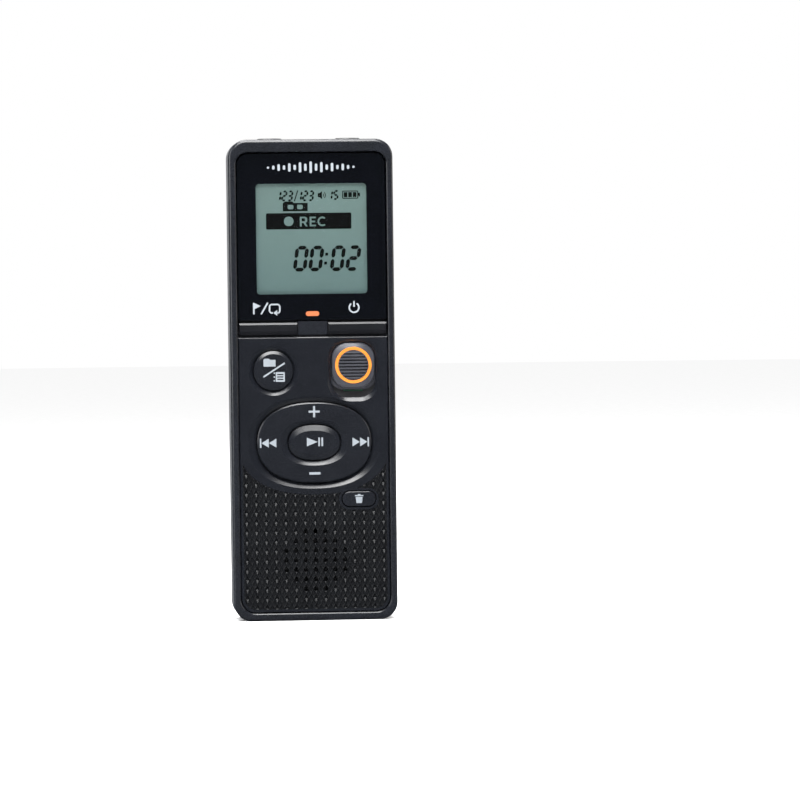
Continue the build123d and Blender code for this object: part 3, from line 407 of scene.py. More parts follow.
NODE_FINISHES: dict[str, Finish] = {
    "rear_shell": SHELL_ABS,
    "front_frame": FRAME_PAINT,
    "case_screws": SCREW_STEEL,
    "display_lens": BORDER_ACRYLIC,
    "light_pipe": PIPE_GLOW,
    "indicator_led": EPOXY,
    "key_panel": PANEL_PAINT,
    "index_key": BAR_ABS,
    "power_key": BAR_ABS,
    "folder_key": KEY_ABS,
    "record_slider": SLIDER_PAINT,
    "slider_ring": RING_METAL,
    "slide_switch": BLACK_NYLON,
    "nav_pad": KEY_ABS,
    "nav_pivot": BLACK_NYLON,
    "play_key": KEY_ABS,
    "erase_key": KEY_ABS,
    "key_membrane": RUBBER,
    "key_domes": DOME_METAL,
    "key_board": BOARD,
    "display_holder": BLACK_NYLON,
    "backlight": WHITE_PLASTIC,
    "display_cell": CRYSTAL,
    "display_gasket": RUBBER,
    "main_board": BOARD,
    "board_link": BLACK_NYLON,
    "processor": CHIP,
    "memory_chip": CHIP,
    "crystal": STEEL,
    "capacitors": STEEL,
    "earphone_socket": BLACK_NYLON,
    "microphone_socket": BLACK_NYLON,
    "microphone": STEEL,
    "microphone_boot": RUBBER,
    "usb_socket": STEEL,
    "speaker_basket": STEEL,
    "speaker_magnet": NICKEL,
    "speaker_cone": CONE_FILM,
    "speaker_gasket": RUBBER,
    "dust_cloth": CLOTH,
    "left_cell": CELL_JACKET,
    "right_cell": CELL_JACKET,
    "contact_plates": NICKEL,
    "contact_springs": NICKEL,
    "battery_cover": SHELL_ABS,
}


# ---------------------------------------------------------------------------------------------
# Making and finishing meshes


def deselect() -> None:
    """Leave nothing selected, the imported frame included."""
    for item in list(bpy.context.selected_objects):
        item.select_set(False)


def make_active(item: bpy.types.Object) -> None:
    """Select one object alone and make it active."""
    deselect()
    item.select_set(True)
    bpy.context.view_layer.objects.active = item


def settle(item: bpy.types.Object) -> bpy.types.Object:
    """Apply an object's place, turn and scale to its mesh.

    Args:
        item: The object, which ends at the origin, unturned and unscaled.

    Returns:
        The same object.
    """
    make_active(item)
    bpy.ops.object.transform_apply(location=True, rotation=True, scale=True)
    return item


def apply_modifier(item: bpy.types.Object, kind: str, **settings) -> None:
    """Add a modifier with its settings and apply it.

    Args:
        item: The object that gets it.
        kind: The modifier's type.
        settings: Its properties.
    """
    modifier = item.modifiers.new(kind, kind)
    for name, value in settings.items():
        setattr(modifier, name, value)
    make_active(item)
    bpy.ops.object.modifier_apply(modifier=modifier.name)


def pick_faces(item: bpy.types.Object, test) -> None:
    """Select exactly the faces that pass a test, in object mode.

    Args:
        item: The mesh object.
        test: Takes a polygon and says whether it is wanted.
    """
    bpy.ops.object.mode_set(mode="OBJECT")
    for vertex in item.data.vertices:
        vertex.select = False
    for edge in item.data.edges:
        edge.select = False
    for face in item.data.polygons:
        face.select = bool(test(face))


def pick_vertices(item: bpy.types.Object, spots: list[int]) -> None:
    """Select exactly these points of a mesh, in object mode, for vertex editing.

    Args:
        item: The mesh object.
        spots: The points' numbers.
    """
    make_active(item)
    bpy.context.scene.tool_settings.mesh_select_mode = (True, False, False)
    pick_faces(item, lambda face: False)
    for index in spots:
        item.data.vertices[index].select = True


def copy_of(item: bpy.types.Object, place: Matrix) -> bpy.types.Object:
    """Copy an object with a mesh of its own, and put its mesh elsewhere.

    Args:
        item: The settled object to copy.
        place: The transform for the copy's mesh.

    Returns:
        The copy.
    """
    twin = item.copy()
    twin.data = item.data.copy()
    twin.data.transform(place)
    bpy.context.scene.collection.objects.link(twin)
    return twin


def join(name: str, items: list[bpy.types.Object]) -> bpy.types.Object:
    """Join settled objects into one named piece.

    Args:
        name: The piece's name.
        items: What is joined.

    Returns:
        The joined object.
    """
    deselect()
    for item in items:
        item.select_set(True)
    bpy.context.view_layer.objects.active = items[0]
    if len(items) > 1:
        bpy.ops.object.join()
    piece = bpy.context.view_layer.objects.active
    piece.name = piece.data.name = name
    return piece


def remove(item: bpy.types.Object) -> None:
    """Delete an object that only helped to make another."""
    bpy.data.objects.remove(item, do_unlink=True)


def outward(item: bpy.types.Object, merge: float = 0.002) -> None:
    """Merge a mesh's doubles and turn its faces outwards.

    Args:
        item: The mesh object.
        merge: Distance in millimetres under which points are merged.
    """
    make_active(item)
    bpy.ops.object.mode_set(mode="EDIT")
    bpy.ops.mesh.select_all(action="SELECT")
    bpy.ops.mesh.remove_doubles(threshold=merge * MM)
    bpy.ops.mesh.normals_make_consistent(inside=False)
    bpy.ops.object.mode_set(mode="OBJECT")


def smooth(item: bpy.types.Object, angle: float = 30.0) -> None:
    """Shade a mesh smooth except at edges sharper than an angle in degrees."""
    make_active(item)
    bpy.ops.object.shade_smooth_by_angle(angle=math.radians(angle))


def dress(item: bpy.types.Object, finish: Finish, body: str) -> bpy.types.Object:
    """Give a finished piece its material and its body.

    Args:
        item: The piece.
        finish: Its finish.
        body: The body that it rides on.

    Returns:
        The piece.
    """
    item.data.materials.clear()
    item.data.materials.append(finish.make())
    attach(item, body)
    LOG.info("%s: %d faces, rides on %s", item.name, len(item.data.polygons), body)
    return item


def front_of(node: str) -> float:
    """Y in millimetres of a node's foremost point."""
    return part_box(node)[0].y / MM


def centre_of(node: str) -> tuple[float, float]:
    """X and Z in millimetres of the middle of a node."""
    low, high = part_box(node)
    return (low.x + high.x) / 2 / MM, (low.z + high.z) / 2 / MM


# ---------------------------------------------------------------------------------------------
# Flat marks


Point = tuple[float, float]


@dataclass
class Artwork:
    """Flat marks on one plane facing the front: bars, arcs and outlines joined into one thin piece.

    Attributes:
        centre: X and Z of the artwork's own origin.
        depth: Y of the plane that the marks lie on.
        rise: How far they stand in front of it.
        slant: How far the top leans right, as a share of height.
        parts: The marks made so far.
    """

    centre: Point
    depth: float
    rise: float = INK_RISE
    slant: float = 0.0
    parts: list[bpy.types.Object] = field(default_factory=list)

    def outline(self, *loops: list[Point]) -> None:
        """Add a filled outline; further loops are holes in it.

        Args:
            loops: Lists of X, Z points in millimetres from the artwork's origin.
        """
        curve = bpy.data.curves.new("mark", "CURVE")
        curve.dimensions = "2D"
        curve.fill_mode = "BOTH"
        curve.extrude = self.rise * MM / 2
        for loop in loops:
            spline = curve.splines.new("POLY")
            spline.points.add(len(loop) - 1)
            for point, (x, z) in zip(spline.points, loop):
                point.co = (x * MM + z * self.slant * MM, z * MM, 0, 1)
            spline.use_cyclic_u = True
        item = bpy.data.objects.new("mark", curve)
        bpy.context.scene.collection.objects.link(item)
        make_active(item)
        bpy.ops.object.convert(target="MESH")
        item = bpy.context.view_layer.objects.active
        item.rotation_euler = (FACING, 0, 0)
        item.location = (self.centre[0] * MM, (self.depth - self.rise / 2) * MM, self.centre[1] * MM)
        self.parts.append(settle(item))

    def bar(self, start: Point, end: Point, stroke: float) -> None:
        """Add a straight bar with square ends.

        Args:
            start: One end.
            end: The other end.
            stroke: Its width.
        """
        run = Vector((end[0] - start[0], end[1] - start[1])).normalized() * stroke / 2
        side = Vector((-run.y, run.x))
        a, b = Vector(start), Vector(end)
        self.outline([tuple(a + side), tuple(a - side), tuple(b - side), tuple(b + side)])

    def segment(self, start: Point, end: Point, stroke: float) -> None:
        """Add a display segment: a bar with pointed ends.

        Args:
            start: One end.
            end: The other end.
            stroke: Its width.
        """
        run = Vector((end[0] - start[0], end[1] - start[1])).normalized() * stroke / 2
        side = Vector((-run.y, run.x))
        a, b = Vector(start), Vector(end)
        loop = [a, a + run + side, b - run + side, b, b - run - side, a + run - side]
        self.outline([tuple(p) for p in loop])

    def box(self, low: Point, high: Point, corner: float = 0.0, hole: float = 0.0) -> None:
        """Add a rectangle with round corners, filled or as a frame.

        Args:
            low: Lower left corner.
            high: Upper right corner.
            corner: Corner radius.
            hole: Width of the frame's line, or 0 for a filled one.
        """
        loops = [rounded(low, high, corner)]
        if hole:
            inner_low, inner_high = (low[0] + hole, low[1] + hole), (high[0] - hole, high[1] - hole)
            loops.append(rounded(inner_low, inner_high, max(0, corner - hole)))
        self.outline(*loops)

    def sweep(self, middle: Point, radius: float, start: float, end: float, stroke: float) -> None:
        """Add a curved bar.

        Args:
            middle: Centre of the arc.
            radius: Radius to its outer edge.
            start: First angle in degrees.
            end: Last angle in degrees.
            stroke: Its width.
        """
        inner = list(reversed(arc(middle, radius - stroke, start, end)))
        self.outline(arc(middle, radius, start, end) + inner)

    def piece(self, name: str, finish: Finish, body: str, slot: str, onto: str = "") -> bpy.types.Object:
        """Join the marks into one piece and dress it.

        Args:
            name: The piece's name.
            finish: Its finish.
            body: The body that it rides on.
            slot: Not used.
            onto: A node whose curved front the marks are laid onto.

        Returns:
            The piece.
        """
        item = join(name, self.parts)
        if onto:
            self.lay_onto(item, bpy.data.objects[onto])
        outward(item)
        return dress(item, finish, body)

    def lay_onto(self, item: bpy.types.Object, ground: bpy.types.Object) -> None:
        """Press the marks onto a curved front, keeping their thickness.

        Args:
            item: The joined marks.
            ground: The object that they are laid onto.
        """
        make_active(item)
        bpy.ops.object.mode_set(mode="EDIT")
        bpy.ops.mesh.select_all(action="SELECT")
        bpy.ops.mesh.quads_convert_to_tris()
        bpy.ops.mesh.subdivide(number_cuts=2)
        bpy.ops.object.mode_set(mode="OBJECT")
        for vertex in item.data.vertices:
            back = vertex.co.y > (self.depth - self.rise / 2) * MM
            start = Vector((vertex.co.x, -0.1, vertex.co.z))
            found, spot, _, _ = ground.ray_cast(start, Vector((0, 1, 0)))
            if found:
                vertex.co.y = spot.y - (0.0 if back else self.rise * MM)


def arc(middle: Point, radius: float, start: float, end: float, steps: int = 28) -> list[Point]:
    """Points along an arc.

    Args:
        middle: Its centre.
        radius: Its radius.
        start: First angle in degrees.
        end: Last angle in degrees.
        steps: How many points a full turn has.

    Returns:
        The points; a full turn doesn't repeat its first point.
    """
    full = abs(end - start) >= 360
    count = steps if full else max(2, round(steps * abs(end - start) / 360))
    angles = [math.radians(start + (end - start) * i / count) for i in range(count if full else count + 1)]
    return [(middle[0] + radius * math.cos(a), middle[1] + radius * math.sin(a)) for a in angles]


def rounded(low: Point, high: Point, corner: float, foot: bool = True) -> list[Point]:
    """Corner-rounded rectangle as a loop of points.

    Args:
        low: Lower left corner.
        high: Upper right corner.
        corner: Corner radius.
        foot: Whether the two lower corners are rounded as well.

    Returns:
        The loop, anticlockwise from the lower right.
    """
    if corner <= 0:
        return [(high[0], low[1]), high, (low[0], high[1]), low]
    loop: list[Point] = [] if foot else [(high[0], low[1])]
    centres = [(high[0] - corner, low[1] + corner), (high[0] - corner, high[1] - corner)]
    centres += [(low[0] + corner, high[1] - corner), (low[0] + corner, low[1] + corner)]
    for i, middle in enumerate(centres):
        if foot or i in (1, 2):
            loop += arc(middle, corner, -90 + 90 * i, 90 * i)
    return loop if foot else loop + [low]


def oval_loop(middle: Point, width: float, height: float, power: float = 2.3, steps: int = 96) -> list[Point]:
    """A rounded oval, squarer than an ellipse, as a loop of points.

    Args:
        middle: Its centre.
        width: Full width.
        height: Full height.
        power: 2 would be a plain ellipse.
        steps: How many points it has.

    Returns:
        The loop.
    """
    loop = []
    for i in range(steps):
        angle = 2 * math.pi * i / steps
        c, s = math.cos(angle), math.sin(angle)
        x = math.copysign(abs(c) ** (2 / power), c) * width / 2
        z = math.copysign(abs(s) ** (2 / power), s) * height / 2
        loop.append((middle[0] + x, middle[1] + z))
    return loop


def slab(name: str, loops: list[list[Point]], front: float, back: float) -> bpy.types.Object:
    """A flat plate with holes between two depths.

    Args:
        name: Its name.
        loops: Its outline and its holes, in X and Z.
        front: Y of its front face.
        back: Y of its back face.

    Returns:
        The plate, settled, with merged points.
    """
    art = Artwork((0.0, 0.0), back, back - front)
    art.outline(*loops)
    plate = join(name, art.parts)
    outward(plate)
    return plate


# ---------------------------------------------------------------------------------------------
# Sub-assemblies


class Glyph(Enum):
    """Which of a digit's seven segments are lit.

    They are lettered clockwise from a at the top to f at the upper left, with g in the middle.
    """

    ZERO = "abcdef"
    ONE = "bc"
    TWO = "abged"
    THREE = "abgcd"
    FIVE = "afgcd"


@dataclass
class DisplayWindow:
    """The acrylic window: a border printed black on its back, and the clear pane over the display.

    Attributes:
        pane_width: Width of the clear opening.
        pane_height: Height of the clear opening.
        pane_corner: Corner radius of the opening.
        centre_rise: The opening's centre above the lens's lower edge.
        corner: Corner radius of the whole window.
        pane_thickness: Thickness of the clear pane.
        edge: Width of the chamfer around the window's front.
        fit: Gap around the light pipe.
        pane_gap: How far the pane lies behind the border's face and under its edge.
    """

    pane_width: float = 24.9
    pane_height: float = 24.8
    pane_corner: float = 0.8
    centre_rise: float = 18.4
    corner: float = 2.75
    pane_thickness: float = 0.25
    edge: float = 0.3
    fit: float = 0.03
    pane_gap: float = 0.02

    def opening(self, grow: float = 0.0) -> list[Point]:
        """Loop of the clear opening, grown by an amount."""
        low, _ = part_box("display_lens")
        middle = low.z / MM + self.centre_rise
        half_x, half_z = self.pane_width / 2 + grow, self.pane_height / 2 + grow
        return rounded((-half_x, middle - half_z), (half_x, middle + half_z), self.pane_corner)

    def build(self) -> None:
        """Build the border and the pane in place of the plain lens."""
        low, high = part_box("display_lens")
        lower, upper = (low.x / MM, low.z / MM), (high.x / MM, high.z / MM)
        pipe_low, pipe_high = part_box("light_pipe")
        slot = rounded(
            (pipe_low.x / MM - self.fit, pipe_low.z / MM - self.fit),
            (pipe_high.x / MM + self.fit, pipe_high.z / MM + self.fit),
            (pipe_high.z - pipe_low.z) / MM / 2,
        )
        edge = self.edge
        ledge_low, ledge_high = (lower[0] + edge, lower[1] + edge), (upper[0] - edge, upper[1] - edge)
        ledge = rounded(ledge_low, ledge_high, self.corner - edge, False)
        front, back = low.y / MM, high.y / MM
        rim = self.sloped("rim", rounded(lower, upper, self.corner, False), ledge, front, back)
        face = slab("face", [ledge, self.opening(), slot], front, back)
        border = join("window_border", [face, rim])
        dress(border, BORDER_ACRYLIC, "case")
        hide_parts("display_lens")
        gap = self.pane_gap
        pane = slab("window_pane", [self.opening(gap)], front + gap, front + self.pane_thickness)
        dress(pane, PANE_ACRYLIC, "case")

    def sloped(
        self, name: str, outer: list[Point], inner: list[Point], front: float, back: float
    ) -> bpy.types.Object:
        """The window's outer edge: a straight wall with a polished chamfer that meets the face.

        Args:
            name: Its name.
            outer: Outline of the window.
            inner: Outline of the flat face, with as many points.
            front: Y of the face.
            back: Y of the back.

        Returns:
            The edge as an open band.
        """
        levels = [(inner, front), (outer, front + self.edge), (outer, back)]
        points = [(x * MM, y * MM, z * MM) for loop, y in levels for x, z in loop]
        count = len(outer)
        faces = []
        for k in range(2):
            for i in range(count):
                a, b = k * count + i, k * count + (i + 1) % count
                faces.append((a, b, b + count, a + count))
        mesh = bpy.data.meshes.new(name)
        mesh.from_pydata(points, [], faces)
        band = bpy.data.objects.new(name, mesh)
        bpy.context.scene.collection.objects.link(band)
        return band


@dataclass
class DisplayContent:
    """What the liquid-crystal display shows: counters, symbols, a dark bar and the running time.

    Attributes:
        left: X of the window's left edge.
        top: Z of the window's top edge.
        slant: Lean of the digits.
        depth: How far the display's face appears behind the window's front.
        lift: How far the segments lie in front of that face.
        face_gap: Gap between that face and the window's opening.
        face_thickness: Its thickness.
    """

    left: float = -12.45
    top: float = 98.1
    slant: float = 0.14
    depth: float = 0.7
    lift: float = 0.02
    face_gap: float = 0.01
    face_thickness: float = 0.1

    def art(self, slant: float = 0.0) -> Artwork:
        """Artwork whose origin is the window's top left corner, with Z running down as negative."""
        return Artwork((self.left, self.top), front_of("display_lens") + self.depth, self.lift, slant)

    def reflector(self) -> None:
        """The display's face where it appears through the acrylic, nearer than its glass by refraction."""
        front = front_of("display_lens") + self.depth
        loop = DisplayWindow().opening(-self.face_gap)
        face = slab("display_face", [loop], front, front + self.face_thickness)
        dress(face, CRYSTAL, "case")

    def digit(self, art: Artwork, glyph: Glyph, corner: Point, size: Point, stroke: float) -> None:
        """Add one seven-segment digit.

        Args:
            art: The artwork that gets it.
            glyph: Which segments are lit.
            corner: The digit's lower left corner.
            size: Its width and height.
            stroke: Width of a segment.
        """
        x, z = corner
        w, h = size
        gap = stroke * 0.12
        ends = {
            "a": ((x, z + h), (x + w, z + h)),
            "b": ((x + w, z + h / 2), (x + w, z + h)),
            "c": ((x + w, z), (x + w, z + h / 2)),
            "d": ((x, z), (x + w, z)),
            "e": ((x, z), (x, z + h / 2)),
            "f": ((x, z + h / 2), (x, z + h)),
            "g": ((x, z + h / 2), (x + w, z + h / 2)),
        }
        for letter in glyph.value:
            a, b = (Vector(p) for p in ends[letter])
            run = (b - a).normalized() * gap
            art.segment(tuple(a + run), tuple(b - run), stroke)

    def number(
        self, art: Artwork, glyphs: list[Glyph], corner: Point, size: Point, pitch: float, stroke: float
    ) -> None:
        """Add a row of digits.

        Args:
            art: The artwork that gets them.
            glyphs: The digits from left to right.
            corner: Lower left corner of the first.
            size: Width and height of each.
            pitch: Their spacing.
            stroke: Width of a segment.
        """
        for i, glyph in enumerate(glyphs):
            self.digit(art, glyph, (corner[0] + i * pitch, corner[1]), size, stroke)

    def counters(self) -> Artwork:
        """The small numbers of the file counter and the volume."""
        art = self.art(self.slant)
        lean = 3.75 * self.slant
        row = [Glyph.ONE, Glyph.TWO, Glyph.THREE]
        self.number(art, row, (4.6 + lean, -3.75), (0.84, 2.0), 1.32, 0.44)
        art.bar((8.75 + lean, -3.95), (9.2 + lean, -1.55), 0.24)
        self.number(art, row, (9.3 + lean, -3.75), (0.84, 2.0), 1.32, 0.44)
        self.number(art, [Glyph.ONE, Glyph.FIVE], (16.2 + lean, -3.55), (0.82, 1.8), 1.32, 0.42)
        return art

    def clock(self) -> Artwork:
        """The large running time."""
        art = self.art(self.slant)
        lean = 19.3 * self.slant
        size, stroke = (2.2, 4.9), 0.86
        for x, glyph in ((8.6, Glyph.ZERO), (12.05, Glyph.ZERO), (16.9, Glyph.ZERO), (20.4, Glyph.TWO)):
            self.digit(art, glyph, (x + lean, -19.3), size, stroke)
        for z in (-15.9, -17.9):
            art.box((15.05 + lean, z - 0.32), (15.7 + lean, z + 0.32), 0.1)
        return art

    def symbols(self) -> Artwork:
        """Loudspeaker, battery, folder tab and the dark bar, with their marks left open."""
        art = self.art()
        art.outline([(14.0, -3.1), (14.0, -2.2), (14.4, -2.2), (14.95, -1.75), (14.95, -3.55), (14.4, -3.1)])
        for radius in (0.55, 0.95):
            art.sweep((14.85, -2.65), radius, -45, 45, 0.17)
        art.box((19.5, -3.5), (23.1, -1.7), 0.2, 0.2)
        art.box((23.1, -3.0), (23.5, -2.2), 0.05)
        for i in range(3):
            art.box((19.85 + i * 1.02, -3.15), (20.65 + i * 1.02, -2.05))
        folder = [(6.1, -6.2), (11.7, -6.2), (11.7, -4.35), (8.6, -4.35), (8.2, -4.0)]
        folder += [(6.6, -4.0), (6.1, -4.4)]
        holes = [rounded((7.2, -5.75), (8.5, -4.75), 0.35), rounded((9.3, -5.75), (10.6, -4.75), 0.35)]
        art.outline(folder, *holes)
        self.bar_with_letters(art)
        return art

    def bar_with_letters(self, art: Artwork) -> None:
        """The dark bar, with a round mark and three plain letters open in it.

        Args:
            art: The artwork that gets it.
        """
        low, high, stroke = -9.62, -7.45, 0.36
        rim = rounded((2.3, -10.25), (21.5, -6.6), 0.3)
        holes = [arc((7.4, -8.45), 1.08, 0, 360)]
        middle = (low + high) / 2
        r = [(9.9, low), (9.9, high), (11.1, high), (11.55, high - 0.3)]
        r += [(11.55, middle - 0.05), (11.15, middle - 0.28)]
        r += [(11.68, low), (11.22, low), (10.72, middle - 0.3), (10.3, middle - 0.3), (10.3, low)]
        holes.append(r)
        eye = [(10.3, middle + 0.05), (10.95, middle + 0.05), (11.13, middle + 0.3)]
        eye += [(11.13, high - 0.5), (10.95, high - 0.33), (10.3, high - 0.33)]
        holes.append(eye)
        e = [(12.1, low), (12.1, high), (13.5, high), (13.5, high - stroke), (12.5, high - stroke)]
        e += [(12.5, middle + 0.18), (13.35, middle + 0.18), (13.35, middle - 0.18), (12.5, middle - 0.18)]
        e += [(12.5, low + stroke), (13.5, low + stroke), (13.5, low)]
        holes.append(e)
        centre, radius = (14.95, middle), (high - low) / 2
        c = arc(centre, radius, 50, 310) + list(reversed(arc(centre, radius - 0.38, 50, 310)))
        holes.append(c)
        art.outline(rim, *holes)

    def build(self) -> None:
        """Build every lit element and lay it on the glass."""
        self.reflector()
        for name, make in (("counters", self.counters), ("clock", self.clock), ("symbols", self.symbols)):
            make().piece(f"display_{name}", SEGMENT_INK, "case", "display_glass")


@dataclass
class WindowMarks:
    """Pale marks printed on the window: a plain sound-wave emblem, a flag, a repeat arrow and a power sign.

    Attributes:
        emblem_row: Z of the emblem.
        bars: Heights of the emblem's bars.
        pitch: Spacing of those bars.
        bar: Width of one.
        mark_row: Z of the lower marks.
        stroke: Width of their lines.
    """

    emblem_row: float = 101.7
    bars: tuple[float, ...] = (
        *(0.5, 0.9, 1.5, 1.0, 1.9, 1.2, 2.3, 1.6),
        *(2.6, 1.6, 2.3, 1.2, 1.9, 1.0, 1.5, 0.9, 0.5),
    )
    pitch: float = 1.2
    bar: float = 0.56
    mark_row: float = 70.0
    stroke: float = 0.34

    def build(self) -> None:
        """Build the marks as thin pieces on the window's front."""
        front = front_of("display_lens")
        art = Artwork((0.0, self.emblem_row), front)
        for i, height in enumerate(self.bars):
            x = (i - (len(self.bars) - 1) / 2) * self.pitch
            art.box((x - self.bar / 2, -height / 2), (x + self.bar / 2, height / 2), self.bar / 2 - 0.01)
        art.piece("window_emblem", WINDOW_INK, "case", "lens_plastic")
        art = Artwork((0.0, self.mark_row), front)
        self.flag(art)
        self.repeat(art)
        self.power(art)
        art.piece("window_marks", WINDOW_INK, "case", "lens_plastic")

    def flag(self, art: Artwork) -> None:
        """Flag on a pole and the stroke beside it."""
        art.outline([(-13.35, -1.1), (-13.0, -1.1), (-13.0, 0.05), (-11.6, 0.75), (-13.35, 1.55)])
        art.bar((-11.55, -1.1), (-10.05, 1.45), self.stroke)

    def repeat(self, art: Artwork) -> None:
        """Rounded loop with an arrowhead."""
        left, right, low, high = -9.65, -7.35, -0.85, 1.05
        shape = [(left + 0.75, low), (left + 0.35, low), (left, low + 0.35)]
        shape += [(left, high - 0.35), (left + 0.35, high)]
        shape += [(right - 0.35, high), (right, high - 0.35), (right, low + 0.35), (right - 0.3, low)]
        shape.append((right - 0.75, low))
        for a, b in zip(shape, shape[1:]):
            art.bar(a, b, self.stroke)
        art.outline([(right - 1.45, low), (right - 0.6, low + 0.62), (right - 0.6, low - 0.62)])

    def power(self, art: Artwork) -> None:
        """Open ring with a stroke at its top."""
        art.sweep((9.35, 0.15), 1.25, 125, 415, self.stroke)
        art.bar((9.35, 0.3), (9.35, 1.6), self.stroke)


@dataclass
class KeyMarks:
    """Silver marks printed on the keys, each riding on its own key.

    Attributes:
        stroke: Width of the plain lines.
        across: Distance of the side marks from the pad's centre.
        along: Distance of the upper and lower marks from it.
    """

    stroke: float = 0.46
    across: float = 10.3
    along: float = 6.93

    def folder(self) -> None:
        """Folder, stroke and list page on the round key."""
        art = Artwork(centre_of("folder_key"), front_of("folder_key"))
        folder = [(-2.2, 0.95), (0.5, 0.95), (0.5, 2.45), (-0.75, 2.45), (-0.95, 2.72)]
        art.outline(folder + [(-2.0, 2.72), (-2.2, 2.5)])
        art.bar((-2.25, -1.37), (2.55, 1.70), 0.36)
        art.box((0.5, -2.5), (2.55, -0.3), 0.15)
        for z in (-0.55, -1.4, -2.25):
            art.box((0.05, z - 0.17), (0.35, z + 0.17))
        art.piece("folder_key_marks", PRINT_INK, "folder_key", "key_plastic", onto="folder_key")
        lines = Artwork(centre_of("folder_key"), front_of("folder_key") - INK_RISE, 0.02)
        for z in (-0.85, -1.4, -1.95):
            lines.bar((0.85, z), (2.2, z), 0.24)
        lines.piece("folder_key_lines", KEY_ABS, "folder_key", "key_plastic")

    def skip(self, art: Artwork, side: int) -> None:
        """Two arrowheads and a bar, pointing outwards.

        Args:
            art: The artwork that gets them.
            side: 1 for the right side, -1 for the left.
        """
        for inner in (-1.75, -0.05):
            base = [(side * (self.across + inner), z) for z in (1.0, -1.0)]
            art.outline(base + [(side * (self.across + inner + 1.65), 0.0)])
        end = side * (self.across + 1.8)
        art.bar((end, -1.03), (end, 1.03), 0.34)

    def pad(self) -> None:
        """Plus, minus and skip marks on the pad, and play and pause on its middle key."""
        art = Artwork(centre_of("nav_pad"), front_of("nav_pad"))
        art.bar((-1.25, self.along), (1.25, self.along), self.stroke)
        for low, high in ((0.23, 1.25), (-1.25, -0.23)):
            art.bar((0, self.along + low), (0, self.along + high), self.stroke)
        art.bar((-1.25, -self.along), (1.25, -self.along), 0.55)
        for side in (-1, 1):
            self.skip(art, side)
        art.piece("pad_marks", PRINT_INK, "nav_pad", "key_plastic", onto="nav_pad")
        art = Artwork(centre_of("play_key"), front_of("play_key"))
        art.outline([(-1.7, -0.85), (0.7, 0.13), (-1.7, 1.1)])
        for x in (1.05, 1.75):
            art.bar((x, -0.85), (x, 1.1), 0.38)
        art.piece("play_key_marks", PRINT_INK, "play_key", "key_plastic", onto="play_key")

    def erase(self) -> None:
        """Waste bin on the erase key."""
        art = Artwork(centre_of("erase_key"), front_of("erase_key"))
        art.outline([(-0.62, -0.95), (0.62, -0.95), (0.78, 0.45), (-0.78, 0.45)])
        art.box((-0.95, 0.6), (0.95, 0.85), 0.05)
        art.box((-0.3, 0.85), (0.3, 1.05))
        art.piece("erase_key_marks", PRINT_INK, "erase_key", "key_plastic", onto="erase_key")

    def build(self) -> None:
        """Build all the keys' marks."""
        self.folder()
        self.pad()
        self.erase()


